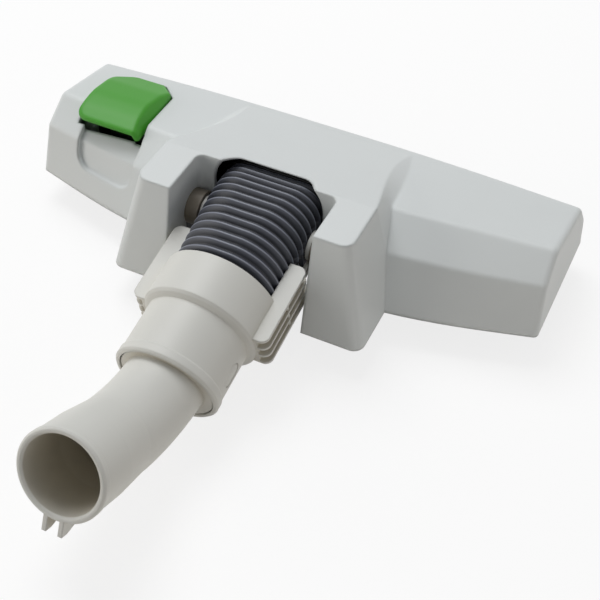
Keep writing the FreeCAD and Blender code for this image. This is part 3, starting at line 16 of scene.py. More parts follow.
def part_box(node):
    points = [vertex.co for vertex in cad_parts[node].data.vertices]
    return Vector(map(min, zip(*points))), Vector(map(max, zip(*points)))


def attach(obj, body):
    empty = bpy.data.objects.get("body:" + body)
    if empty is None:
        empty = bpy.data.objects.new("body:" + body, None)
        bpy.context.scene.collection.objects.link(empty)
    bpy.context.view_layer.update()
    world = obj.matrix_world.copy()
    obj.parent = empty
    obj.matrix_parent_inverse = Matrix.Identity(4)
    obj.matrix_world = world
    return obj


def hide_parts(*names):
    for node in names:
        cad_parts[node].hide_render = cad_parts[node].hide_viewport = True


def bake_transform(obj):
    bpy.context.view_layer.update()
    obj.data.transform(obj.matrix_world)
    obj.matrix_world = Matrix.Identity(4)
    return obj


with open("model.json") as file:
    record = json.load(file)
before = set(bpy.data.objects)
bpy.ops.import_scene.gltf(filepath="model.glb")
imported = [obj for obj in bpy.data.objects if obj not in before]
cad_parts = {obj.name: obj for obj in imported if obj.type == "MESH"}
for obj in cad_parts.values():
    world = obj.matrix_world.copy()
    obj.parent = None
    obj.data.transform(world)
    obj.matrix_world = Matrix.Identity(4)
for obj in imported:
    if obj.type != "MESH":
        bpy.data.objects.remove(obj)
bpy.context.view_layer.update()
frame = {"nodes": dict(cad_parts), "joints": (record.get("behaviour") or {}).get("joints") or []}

MM = 0.001
nodes = frame["nodes"]
joints = {joint["name"]: joint for joint in frame["joints"]}
print("pieces in the frame:", len(nodes))

# %% [markdown]
# The picture is taken from behind and above, a little to the right, with a long
# lens, so the lines of the head hardly converge. The camera's place and its
# three directions were worked out once from the head's corners. A matrix built
# from those directions turns the camera with no aiming constraint.

# %% Place the camera
scene = bpy.context.scene
CAMERA_AT = Vector((0.191493, -0.313647, 0.427371))
CAMERA_RIGHT = Vector((0.901162, 0.433451, 0.005210))
CAMERA_UP = Vector((-0.320399, 0.657931, 0.681521))
LENS_MM, SENSOR_MM = 70.173, 36.0

camera_back = CAMERA_RIGHT.cross(CAMERA_UP)
eye = bpy.data.cameras.new("photo_camera")
eye.lens, eye.sensor_width = LENS_MM, SENSOR_MM
camera = bpy.data.objects.new("photo_camera", eye)
turn = Matrix((CAMERA_RIGHT, CAMERA_UP, camera_back)).transposed().to_4x4()
camera.matrix_world = Matrix.Translation(CAMERA_AT) @ turn
scene.collection.objects.link(camera)
scene.camera = camera
print("camera at", tuple(round(v, 4) for v in CAMERA_AT))

# %% [markdown]
# Small tools for building node trees. A tree is only boxes and wires, so a few
# short functions cover most of it: one adds a box, one wires it or writes a
# value in it, one does that for several inputs by their names, and one adds a
# maths box.

# %% Helpers for node trees
def add(tree, kind, **settings):
    """A new node of a kind, with its plain settings."""
    node = tree.nodes.new(kind)
    for key, value in settings.items():
        setattr(node, key, value)
    return node


def feed(tree, socket, value):
    """Wires a socket to another node's output, or writes a plain value in it."""
    if isinstance(value, bpy.types.NodeSocket):
        tree.links.new(value, socket)
    elif value is not None:
        socket.default_value = value


def fill(tree, node, **values):
    """Feeds a node's inputs by name, with _ for a space, and hands on its outputs."""
    for key, value in values.items():
        feed(tree, node.inputs[key.replace("_", " ")], value)
    return node.outputs


def maths(tree, operation, *values, clamp=False):
    """One Math node, fed from left to right."""
    node = add(tree, "ShaderNodeMath", operation=operation, use_clamp=clamp)
    for socket, value in zip(node.inputs, values):
        feed(tree, socket, value)
    return node.outputs[0]


# %% [markdown]
# Effects that several finishes share are node groups. A group hands out only
# masks, values and normals, and the shader itself stays in each material. Every
# pattern is noise read in the piece's own space, so it stays on the piece when
# the piece moves, and needs no picture and no unwrapping.

# %% Helpers for shared groups
def shading_group(name, inputs, outputs):
    """An empty shader node group with named sockets, and its two end nodes."""
    tree = bpy.data.node_groups.new(name, "ShaderNodeTree")
    for label, kind, value in inputs:
        socket = tree.interface.new_socket(label, in_out="INPUT", socket_type="NodeSocket" + kind)
        socket.default_value = value
    for label, kind in outputs:
        tree.interface.new_socket(label, in_out="OUTPUT", socket_type="NodeSocket" + kind)
    return tree, add(tree, "NodeGroupInput"), add(tree, "NodeGroupOutput")


def own_place(tree):
    """Where a point lies in its own piece's space."""
    return add(tree, "ShaderNodeTexCoord").outputs["Object"]


def noise(tree, place, scale, detail=2.0, roughness=0.5):
    """Noise from 0 to 1, whose blobs get smaller as the scale grows."""
    return fill(tree, add(tree, "ShaderNodeTexNoise"), Vector=place, Scale=scale, Detail=detail,
                Roughness=roughness)["Fac"]


# %% [markdown]
# Moulded plastic is never quite smooth or quite even. A spark-eroded mould
# leaves a fine grain on it, and slow drifts in the melt leave faint changes of
# tone. Both are noise, at two very different sizes, so one group makes both and
# every plastic uses it with its own values.

# %% Group: moulded grain
DRIFT_SCALE, DRIFT_DETAIL, DRIFT_ROUGHNESS = 22.0, 5.0, 0.62


def build_grain():
    tree, enter, leave = shading_group("Moulded Grain",
        [("Grain Size", "Float", 1400.0), ("Grain Depth", "Float", 0.5), ("Tone Drift", "Float", 0.03),
         ("Roughness", "Float", 0.45), ("Roughness Drift", "Float", 0.08)],
        [("Tone", "Float"), ("Roughness", "Float"), ("Height", "Float")])
    given = enter.outputs
    place = own_place(tree)
    fine = noise(tree, place, given["Grain Size"])
    slow = noise(tree, place, DRIFT_SCALE, DRIFT_DETAIL, DRIFT_ROUGHNESS)
    middle = maths(tree, "SUBTRACT", slow, 0.5)
    drift = maths(tree, "MULTIPLY", middle, given["Tone Drift"])
    sway = maths(tree, "MULTIPLY", middle, given["Roughness Drift"])
    fill(tree, leave, Tone=maths(tree, "ADD", drift, 1.0),
         Roughness=maths(tree, "ADD", sway, given["Roughness"], clamp=True),
         Height=maths(tree, "MULTIPLY", fine, given["Grain Depth"]))
    return tree


grain_group = build_grain()
print("group:", grain_group.name)

# %% [markdown]
# Some effects follow the way a face points, so the node trees need arrows as
# well as numbers. And a mask needs limits: a Map Range node turns a stretch of
# any value into a run from 0 to 1.

# %% Helpers for arrows and masks
def vectors(tree, operation, *values):
    """One Vector Math node, fed from left to right."""
    node = add(tree, "ShaderNodeVectorMath", operation=operation)
    second = node.inputs["Scale"] if operation == "SCALE" else node.inputs[1]
    for socket, value in zip((node.inputs[0], second), values):
        feed(tree, socket, value)
    return node.outputs["Value" if operation == "DOT_PRODUCT" else "Vector"]


def parted(tree, vector):
    """A vector's X, Y and Z outputs."""
    return fill(tree, add(tree, "ShaderNodeSeparateXYZ"), Vector=vector)


def stretched(tree, value, low, high):
    """A value between two limits, stretched to run from 0 to 1."""
    return fill(tree, add(tree, "ShaderNodeMapRange"), Value=value, From_Min=low, From_Max=high)[0]


# %% [markdown]
# Handling polishes and bleaches a plastic part where it stands proud. The Bevel
# node gives the normal that a slightly rounded edge would have. Where it parts
# from the real normal there is an edge, and noise breaks the mark up so that it
# doesn't run round the part like a drawn line. The rounded normal is handed out
# too. It makes the solids' sharp edges catch the light as moulded ones do, with
# no change to a solid.

# %% Group: handled edges
EDGE_GAIN = 3.5
WORN_FROM, WORN_TO = 0.38, 0.66


def build_edges():
    tree, enter, leave = shading_group("Handled Edges",
        [("Reach", "Float", 0.0009), ("Amount", "Float", 0.5), ("Patchiness", "Float", 60.0)],
        [("Mask", "Float"), ("Normal", "Vector")])
    given = enter.outputs
    rounded = fill(tree, add(tree, "ShaderNodeBevel", samples=6), Radius=given["Reach"])[0]
    real = add(tree, "ShaderNodeNewGeometry").outputs["Normal"]
    facing = vectors(tree, "DOT_PRODUCT", rounded, real)
    edge = maths(tree, "MULTIPLY", maths(tree, "SUBTRACT", 1.0, facing), EDGE_GAIN, clamp=True)
    patches = noise(tree, own_place(tree), given["Patchiness"], detail=4.0)
    worn = maths(tree, "MULTIPLY", edge, stretched(tree, patches, WORN_FROM, WORN_TO))
    fill(tree, leave, Mask=maths(tree, "MULTIPLY", worn, given["Amount"], clamp=True), Normal=rounded)
    return tree


edges_group = build_edges()
print("group:", edges_group.name)

# %% [markdown]
# Dust settles on what faces up. It lies there as a patchy film, from coarse
# noise, with single specks, from very fine noise cut off near its top. The
# upward part of the normal fades both out towards the flanks.

# %% Group: settled dust
FILM_FALLOFF = 2.0
SPECK_SCALE, SPECK_LIMIT, SPECK_SHARE = 900.0, 0.66, 0.35


def build_dust():
    tree, enter, leave = shading_group("Settled Dust",
        [("Amount", "Float", 0.15), ("Patch Size", "Float", 35.0)], [("Mask", "Float")])
    given = enter.outputs
    normal = add(tree, "ShaderNodeNewGeometry").outputs["Normal"]
    up = maths(tree, "MULTIPLY", parted(tree, normal)["Z"], 1.0, clamp=True)
    place = own_place(tree)
    patches = noise(tree, place, given["Patch Size"], detail=6.0)
    specks = maths(tree, "GREATER_THAN", noise(tree, place, SPECK_SCALE), SPECK_LIMIT)
    film = maths(tree, "MULTIPLY", maths(tree, "POWER", patches, FILM_FALLOFF), up)
    grains = maths(tree, "MULTIPLY", specks, maths(tree, "MULTIPLY", up, SPECK_SHARE))
    total = maths(tree, "ADD", film, grains)
    fill(tree, leave, Mask=maths(tree, "MULTIPLY", total, given["Amount"], clamp=True))
    return tree


dust_group = build_dust()
print("group:", dust_group.name)

# %% [markdown]
# Sheltered places are painted a darker warm brown. Part of it is grime, which
# air carries through the pipe and fingers leave in corners, and part is painted
# shade in the hollows and down the pipe. The Ambient Occlusion node measures how
# shut in a point is by its own piece, and that is the whole mask.

# %% Group: grime and painted shade in hollows
CLEAN_AND_UNSHADED_FROM, FULL_GRIME_AND_SHADE_AT = 0.8, 0.3


def build_grime_and_shade():
    tree, enter, leave = shading_group("Grime And Painted Shade",
        [("Reach", "Float", 0.03), ("Amount", "Float", 0.5)], [("Mask", "Float")])
    given = enter.outputs
    # Ambient occlusion paints shade where the piece shuts itself in, tinted as grime.
    around = add(tree, "ShaderNodeAmbientOcclusion", samples=6, only_local=True)
    openness = fill(tree, around, Distance=given["Reach"])["AO"]
    shut_in = stretched(tree, openness, CLEAN_AND_UNSHADED_FROM, FULL_GRIME_AND_SHADE_AT)
    fill(tree, leave, Mask=maths(tree, "MULTIPLY", shut_in, given["Amount"], clamp=True))
    return tree


grime_and_shade_group = build_grime_and_shade()
print("group:", grime_and_shade_group.name)

# %% [markdown]
# Colours are written here as they look on a screen, from 0 to 255. A shader
# wants them linear, so one function turns the first kind into the second. The
# others mix two colours, and make one a little paler or darker.

# %% Helpers for colours
def linear(red, green, blue):
    """A colour as seen on a screen, as the linear numbers that a shader wants."""
    def one(value):
        share = value / 255.0
        return share / 12.92 if share <= 0.04045 else ((share + 0.055) / 1.055) ** 2.4
    return (one(red), one(green), one(blue), 1.0)


def mixed(tree, factor, first, second, blend="MIX"):
    """One colour mixed with another."""
    node = add(tree, "ShaderNodeMix", data_type="RGBA", blend_type=blend)
    feed(tree, node.inputs["Factor"], factor)
    feed(tree, node.inputs[6], first)
    feed(tree, node.inputs[7], second)
    return node.outputs[2]


def toned(tree, colour, tone):
    """A colour made a little paler or darker by a tone that stays near one."""
    grey = add(tree, "ShaderNodeCombineColor")
    for socket in grey.inputs:
        feed(tree, socket, tone)
    return mixed(tree, 1.0, colour, grey.outputs[0], blend="MULTIPLY")


# %% [markdown]
# A material holds one Principled shader. It could be written out for each
# finish, but they all begin alike and all take the shared groups the same way,
# so three short functions do that part.

# %% Helpers for materials
def new_material(name):
    """A new material, its node tree and its Principled shader."""
    material = bpy.data.materials.new(name)
    material.use_nodes = True
    tree = material.node_tree
    return material, tree, tree.nodes["Principled BSDF"]


def use(tree, group, **values):
    """One of the shared groups, placed in a tree with its own values."""
    return fill(tree, add(tree, "ShaderNodeGroup", node_tree=group), **values)


def bumped(tree, height, strength, distance, normal=None):
    """The normal that a fine height gives, laid over another normal."""
    return fill(tree, add(tree, "ShaderNodeBump"), Strength=strength, Distance=distance, Height=height,
                Normal=normal)["Normal"]


# %% [markdown]
# One function lays the groups into a material: tone on the base colour, then
# worn edges, then dust, then grime with painted shade in the hollows, with the
# grain's height through a Bump node.
# A worn edge is the plastic's own colour a step paler, unless a finish names
# its own. Numbers that are the same all over sit on the sockets.

# %% A plastic from the groups
PALER_STEP = 24
ROUGHNESS_DRIFT = 0.10
GRAIN_DISTANCE = 0.00008
GRIME_AND_SHADE_REACH = 0.04
# The second colour is grime mixed with painted shade, laid into hollows.
DUST_COLOUR, GRIME_AND_SHADE_COLOUR = (150, 143, 130), (176, 158, 118)


def plastic(name, colour, rough=0.45, drift=0.03, grain_size=1400.0, grain_depth=0.5, bump=0.25,
            worn=0.35, worn_colour=None, reach=0.0009, dust=0.1, specular=0.5, grime_and_shade=0.0):
    """A moulded plastic, told by how rough, uneven, grained, worn and dusty it is, and how much grime and
    painted shade its hollows get.
    """
    material, tree, shader = new_material(name)
    grain = use(tree, grain_group, Grain_Size=grain_size, Grain_Depth=grain_depth, Tone_Drift=drift,
                Roughness=rough, Roughness_Drift=ROUGHNESS_DRIFT)
    edges = use(tree, edges_group, Reach=reach, Amount=worn)
    film = use(tree, dust_group, Amount=dust)
    paler = worn_colour or tuple(min(255, channel + PALER_STEP) for channel in colour)
    base = toned(tree, linear(*colour), grain["Tone"])
    base = mixed(tree, edges["Mask"], base, linear(*paler))
    base = mixed(tree, film["Mask"], base, linear(*DUST_COLOUR))
    # Hollows get grime and painted shade, darker where the piece shuts itself in.
    if grime_and_shade:
        grime_and_shade_outputs = use(tree, grime_and_shade_group, Reach=GRIME_AND_SHADE_REACH, Amount=grime_and_shade)
        base = mixed(tree, grime_and_shade_outputs["Mask"], base, linear(*GRIME_AND_SHADE_COLOUR))
    surface = bumped(tree, grain["Height"], bump, GRAIN_DISTANCE, normal=edges["Normal"])
    fill(tree, shader, Base_Color=base, Roughness=grain["Roughness"], Normal=surface,
         Specular_IOR_Level=specular)
    return material


# %% [markdown]
# The head is a cool pale grey, the neck a warmer one that handling and air have
# yellowed, and the pedal a fresh green. What lies below is darker. Only the
# numbers differ, so each plastic is one call.

# %% The plastics of this head
housing_finish = plastic("Housing plastic", (213, 217, 217), rough=0.5, dust=0.06, worn=0.2, reach=0.0024)
# The neck's hollows and the inside of its pipe get grime and painted shade.
neck_finish = plastic("Neck plastic", (210, 210, 205), rough=0.5, dust=0.05, grime_and_shade=0.45)
base_finish = plastic("Base plastic", (44, 45, 48), rough=0.5, worn_colour=(88, 89, 92), dust=0.2)
sole_finish = plastic("Sole plastic", (168, 170, 172), rough=0.34, drift=0.05, worn=0.6)
pedal_finish = plastic("Pedal plastic", (58, 146, 24), rough=0.42, drift=0.025, grain_depth=0.3,
                       worn_colour=(104, 186, 70), dust=0.02, reach=0.003, specular=0.35)
# The bush's dark warm grey-brown is painted shade: it stands for the shadow on the pivot inside the cheek's
# slot.
bush_shade_finish = plastic("Bush plastic, painted shade", (118, 110, 98), rough=0.42)
tread_finish = plastic("Wheel rubber", (84, 84, 86), rough=0.62, grain_size=700.0, bump=0.5, dust=0.35)
print("plastics:", [material.name for material in bpy.data.materials])

# %% [markdown]
# The axles, pins and screws are drawn steel bar. Drawing leaves fine lines along
# the metal. Noise stretched along X into long thin blobs stands for them, and
# gives both the change of roughness and a little height.

# %% Steel
LINE_STRETCH = (60.0, 2600.0, 2600.0)
SMOOTHEST, ROUGHER_BY = 0.22, 0.22


def drawn_steel():
    material, tree, shader = new_material("Drawn steel")
    place = fill(tree, add(tree, "ShaderNodeMapping"), Vector=own_place(tree), Scale=LINE_STRETCH)[0]
    lines = noise(tree, place, 1.0, detail=3.0)
    edges = use(tree, edges_group, Reach=0.0003, Amount=0.5)
    base = mixed(tree, lines, linear(150, 151, 154), linear(192, 193, 196))
    fill(tree, shader, Base_Color=mixed(tree, edges["Mask"], base, linear(220, 221, 224)),
         Roughness=maths(tree, "MULTIPLY_ADD", lines, ROUGHER_BY, SMOOTHEST),
         Normal=bumped(tree, lines, strength=0.3, distance=0.00004), Metallic=1.0)
    return material


steel_finish = drawn_steel()
print("metal:", steel_finish.name)

# %% [markdown]
# Each solid gets its finish in its own material slot. A table from finish to
# nodes reads like a parts list. The lint strips follow further down, with their
# nap. The hose and the bristle strips are replaced, so they need no finish here.

# %% Give the solids their finish
def finish_nodes(material, *names):
    """Puts one finish on several solids."""
    for name in names:
        mesh = nodes[name].data
        mesh.materials.clear()
        mesh.materials.append(material)
    print(material.name, "on", ", ".join(names))


finish_nodes(housing_finish, "upper_cover")
finish_nodes(neck_finish, "yoke", "elbow", "swivel_latch_left", "swivel_latch_right")
finish_nodes(base_finish, "lower_body", "air_trough", "air_duct", "lift_frame",
             "hose_rear_cuff", "hose_front_cuff", "swivel_clip")
finish_nodes(sole_finish, "sole_plate", "roller_left", "roller_right")
finish_nodes(pedal_finish, "pedal")
finish_nodes(bush_shade_finish, "pivot_bush_left", "pivot_bush_right")
finish_nodes(tread_finish, "wheel_left", "wheel_right", "swivel_seal")
finish_nodes(steel_finish, "screws", "pedal_axle", "wheel_axle_left", "wheel_axle_right",
             "roller_pin_left", "roller_pin_right")

# %% [markdown]
# Geometry Nodes use the same small tools. A tree starts with named inputs for
# its sizes. It always ends alike: instances become real faces, because an
# export drops instances, and the faces get their finish.

# %% Helpers for geometry trees
def geometry_tree(name, inputs):
    """An empty geometry tree with named inputs, and its two end nodes."""
    tree = bpy.data.node_groups.new(name, "GeometryNodeTree")
    tree.interface.new_socket("Geometry", in_out="INPUT", socket_type="NodeSocketGeometry")
    tree.interface.new_socket("Geometry", in_out="OUTPUT", socket_type="NodeSocketGeometry")
    for label, kind in inputs:
        tree.interface.new_socket(label, in_out="INPUT", socket_type="NodeSocket" + kind)
    return tree, add(tree, "NodeGroupInput"), add(tree, "NodeGroupOutput")


def step(tree, kind, geometry, **values):
    """One geometry node that takes a shape, changes it and hands it on."""
    return fill(tree, add(tree, kind), Geometry=geometry, **values)["Geometry"]


def close_tree(tree, leave, geometry, material):
    """Ends a tree with real faces in their finish."""
    real = step(tree, "GeometryNodeRealizeInstances", geometry)
    feed(tree, leave.inputs["Geometry"], step(tree, "GeometryNodeSetMaterial", real, Material=material))


# %% [markdown]
# A tree's result is turned into a plain mesh at once. The modifier reads its
# sizes by each socket's identifier, and they are set before the object is first
# evaluated. The result is copied to a new mesh, and the host object goes away.

# %% Helpers that turn a result into a mesh
def plain_mesh(piece):
    """A new mesh of a piece as its modifiers leave it."""
    bpy.context.view_layer.update()
    graph = bpy.context.evaluated_depsgraph_get()
    return bpy.data.meshes.new_from_object(piece.evaluated_get(graph), preserve_all_data_layers=True,
                                           depsgraph=graph)


def grown(name, tree, values):
    """Runs a tree with its values and keeps the result as a plain mesh object."""
    host = bpy.data.objects.new(name + "_host", bpy.data.meshes.new(name + "_host"))
    scene.collection.objects.link(host)
    modifier = host.modifiers.new("grow", "NODES")
    modifier.node_group = tree
    for item in tree.interface.items_tree:
        if item.item_type == "SOCKET" and item.in_out == "INPUT" and item.name in values:
            modifier[item.identifier] = values[item.name]
    mesh = plain_mesh(host)
    mesh.name = name
    piece = bpy.data.objects.new(name, mesh)
    scene.collection.objects.link(piece)
    bpy.data.objects.remove(host)
    print(name, "has", len(mesh.polygons), "faces")
    return piece


# %% [markdown]
# The bellows runs from the big ring of the neck to the duct in the head. Its
# two ends are read from the model: the neck's pivot and direction give the
# first, and the box of the front cuff gives the second.

# %% Hose: where it starts and ends
RING_SEAT, CUFF = 58.0, 1.6
pivot = Vector(joints["neck_tilt"]["pos_m"]) / MM
neck_direction = Vector(joints["elbow_swivel"]["axis"])
neck_droop = math.atan2(-neck_direction.z, -neck_direction.y)
hose_start = pivot + neck_direction * (RING_SEAT - CUFF)
cuff_low, cuff_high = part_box("hose_front_cuff")
hose_end = Vector((0.0, cuff_low.y / MM, (cuff_low.z + cuff_high.z) / 2 / MM))
print("hose from", tuple(round(v, 1) for v in hose_start), "to", tuple(round(v, 1) for v in hose_end))

# %% [markdown]
# The hose could be a stack of modelled rings, but it starts round and ends as a
# wide rounded box, along one smooth bend, and that is a shape with a rule. So a
# flat grid is rolled up: one side of it goes round the hose, and the other goes
# along it. First comes the line through its middle, a curve with two handles.
# Each of its four points gets a weight from the share of the way.

# %% Hose: the line through its middle
def product(tree, first, *others):
    """Several values multiplied together, from left to right."""
    total = first
    for value in others:
        total = maths(tree, "MULTIPLY", total, value)
    return total


def middle_line(tree, share, value):
    """The middle of the hose at a share of its length, in millimetres."""
    rest = maths(tree, "SUBTRACT", 1.0, share)
    weights = (maths(tree, "POWER", rest, 3.0), product(tree, rest, rest, share, 3.0),
               product(tree, share, share, rest, 3.0), maths(tree, "POWER", share, 3.0))
    centre = None
    for weight, label in zip(weights, ("Start", "Leave", "Arrive", "End")):
        part = vectors(tree, "SCALE", value[label], weight)
        centre = part if centre is None else vectors(tree, "ADD", centre, part)
    return centre


print("the hose's middle line: a curve with two handles")

# %% [markdown]
# A wave along the hose makes the rings, nought on a crest and one at the bottom
# of a fold. Each ring is a rectangle with round corners. At the start the
# corners are almost the whole of it, which makes it round, and its width,
# height and corners change towards the end, each at its own pace.

# %% Hose: folds and rings
def fold_at(tree, share, value):
    """Nought on a ring's crest, and one at the bottom of the fold beside it."""
    phase = maths(tree, "FRACT", maths(tree, "MULTIPLY", share, value["Rings"]))
    off_crest = maths(tree, "ABSOLUTE", maths(tree, "MULTIPLY_ADD", phase, 2.0, -1.0))
    return maths(tree, "POWER", off_crest, value["Crest Sharpness"])


def ring_at(tree, share, turned, depth, value):
    """How far to the side and up a point of a ring lies from the middle line."""
    late = maths(tree, "POWER", share, value["Flatten"])
    wider = maths(tree, "POWER", share, value["Widen"])

    def between(first, last, pace):
        size = maths(tree, "MULTIPLY_ADD", maths(tree, "SUBTRACT", last, first), pace, first)
        return maths(tree, "SUBTRACT", size, depth)

    wide = between(value["Radius"], value["End Half Width"], wider)
    high = between(value["Radius"], value["End Half Height"], late)
    round_part = maths(tree, "SUBTRACT", value["Radius"], value["Flat"])
    corner = between(round_part, value["End Corner"], wider)

    def flank(half, wave):
        straight = product(tree, maths(tree, "SUBTRACT", half, corner), maths(tree, "SIGN", wave))
        return maths(tree, "MULTIPLY_ADD", corner, wave, straight)

    return flank(wide, maths(tree, "COSINE", turned)), flank(high, maths(tree, "SINE", turned))


print("the hose's rings: rounded boxes, with a wave for the folds")

# %% [markdown]
# The tree puts these together. It sets every point of the grid in its place,
# leaned as the neck leans at the start and upright at the end, welds the seam
# where the grid closes, and shades the skin smooth. It also stores how high each
# point stands, so that the rubber can be painted with shade in each fold and a
# highlight on each crest.

# %% Hose: the tree
WELD_DISTANCE = 0.00001


def combined(tree, x, y, z):
    """Three numbers as one vector."""
    return fill(tree, add(tree, "ShaderNodeCombineXYZ"), X=x, Y=y, Z=z)[0]


def build_bellows_tree(material):
    tree, enter, leave = geometry_tree("Bellows", [
        ("Rings", "Float"), ("Around", "Int"), ("Along", "Int"), ("Radius", "Float"),
        ("End Half Width", "Float"), ("End Half Height", "Float"), ("End Corner", "Float"),
        ("Fold Depth", "Float"), ("Crest Sharpness", "Float"), ("Start", "Vector"), ("Leave", "Vector"),
        ("Arrive", "Vector"), ("End", "Vector"), ("Droop", "Float"), ("Flatten", "Float"),
        ("Widen", "Float"), ("Flat", "Float")])
    value = enter.outputs
    grid = fill(tree, add(tree, "GeometryNodeMeshGrid"), Size_X=1.0, Size_Y=1.0,
                Vertices_X=value["Around"], Vertices_Y=value["Along"])["Mesh"]
    where = parted(tree, add(tree, "GeometryNodeInputPosition").outputs[0])
    turned = maths(tree, "MULTIPLY", maths(tree, "ADD", where["X"], 0.5), 2 * math.pi)
    share = maths(tree, "ADD", where["Y"], 0.5, clamp=True)
    centre = middle_line(tree, share, value)
    fold = fold_at(tree, share, value)
    depth = maths(tree, "MULTIPLY", fold, value["Fold Depth"])
    side, height = ring_at(tree, share, turned, depth, value)
    settled = maths(tree, "SUBTRACT", 1.0, maths(tree, "MULTIPLY", share, share))
    lean = maths(tree, "MULTIPLY", value["Droop"], settled)
    along = maths(tree, "MULTIPLY", height, maths(tree, "MULTIPLY", maths(tree, "SINE", lean), -1.0))
    up = maths(tree, "MULTIPLY", height, maths(tree, "COSINE", lean))
    place = vectors(tree, "SCALE", vectors(tree, "ADD", centre, combined(tree, side, along, up)), MM)
    # This value later paints shade in the folds and a highlight on the crests.
    marked = fill(tree, add(tree, "GeometryNodeStoreNamedAttribute", data_type="FLOAT", domain="POINT"),
                  Geometry=grid, Name="crest", Value=maths(tree, "SUBTRACT", 1.0, fold))["Geometry"]
    skin = step(tree, "GeometryNodeSetPosition", marked, Position=place)
    skin = step(tree, "GeometryNodeMergeByDistance", skin, Distance=WELD_DISTANCE)
    skin = step(tree, "GeometryNodeSetShadeSmooth", skin)
    close_tree(tree, leave, skin, material)
    return tree


# %% [markdown]
# The hose's rubber is a soft satin. A colour ramp paints shade into each fold
# and a highlight onto each crest. The stored crest value drives that ramp, so
# the painted tones follow the rings exactly, and need no mask of their own.

# %% Hose: rubber
def bellows_rubber():
    material, tree, shader = new_material("Bellows rubber")
    grain = use(tree, grain_group, Grain_Size=1100.0, Grain_Depth=0.5, Tone_Drift=0.10, Roughness=0.5,
                Roughness_Drift=0.12)
    crest = add(tree, "ShaderNodeAttribute", attribute_name="crest").outputs["Fac"]
    # The ramp runs from painted fold shade up to a painted crest highlight.
    ramp = add(tree, "ShaderNodeValToRGB")
    stops = ramp.color_ramp.elements
    stops[0].position, stops[0].color = 0.0, linear(22, 24, 30)
    stops[1].position, stops[1].color = 1.0, linear(130, 134, 146)
    stops.new(0.6).color = linear(42, 45, 54)
    stops.new(0.93).color = linear(64, 67, 77)
    fill(tree, shader, Base_Color=toned(tree, fill(tree, ramp, Fac=crest)["Color"], grain["Tone"]),
         Roughness=grain["Roughness"], Normal=bumped(tree, grain["Height"], strength=0.35, distance=0.0001))
    return material


rubber_finish = bellows_rubber()
print("rubber:", rubber_finish.name)

# %% [markdown]
# Now the hose is grown with its sizes, in millimetres. The two handles of its
# bend lie ahead of the neck's ring and behind the duct. Which side of a rolled
# grid is the outside depends on how it was rolled, so one face is looked at,
# and all are turned over if it points inwards.

# %% Hose: grow it
HOSE_LEAD, HOSE_LAG = 27.0, 25.0
bellows_tree = build_bellows_tree(rubber_finish)
bellows = grown("bellows_hose", bellows_tree, {
    "Rings": 17.0, "Around": 97, "Along": 241, "Radius": 25.7,
    "End Half Width": 27.6, "End Half Height": 17.5, "End Corner": 12.0,
    "Fold Depth": 2.4, "Crest Sharpness": 1.7,
    "Start": hose_start, "Leave": hose_start - neck_direction * HOSE_LEAD,
    "Arrive": hose_end - Vector((0.0, HOSE_LAG, 0.0)), "End": hose_end,
    "Droop": neck_droop, "Flatten": 6.0, "Widen": 1.5, "Flat": 0.4})
hose_middle = (hose_start + hose_end) / 2 * MM
first_face = bellows.data.polygons[0]
if (first_face.center - hose_middle).dot(first_face.normal) <= 0:
    bellows.data.flip_normals()

# %% [markdown]
# A hose has a wall, and its open ends would show a bare skin. A Solidify
# modifier gives the skin its thickness, inwards, so the outside keeps its
# sizes. The piece takes the measured hose's place.

# %% Hose: its wall
WALL = 1.0
wall = bellows.modifiers.new("wall", "SOLIDIFY")
wall.thickness, wall.offset = WALL * MM, -1.0
walled = plain_mesh(bellows)
bellows.modifiers.clear()
bellows.data = walled
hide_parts("hose")
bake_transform(bellows)
print("hose box", [round(v / MM, 1) for v in bellows.dimensions])

# %% [markdown]
# The bristles stand in tufts along two carrier strips. A tuft is a few dozen
# fine filaments that spread a little. One filament is a three-sided spike with
# very few faces, because there are thousands of them. Hair curves would be
# lighter still, but an export drops them. The tree makes one point for each
# filament, moves it into its tuft, and stands a leaning spike on it. Every
# random number comes from the seed.

# %% Bristles: the tree
TIP_SHARE = 0.6
SHORTEST = 0.93
ANY_TURN = 6.28


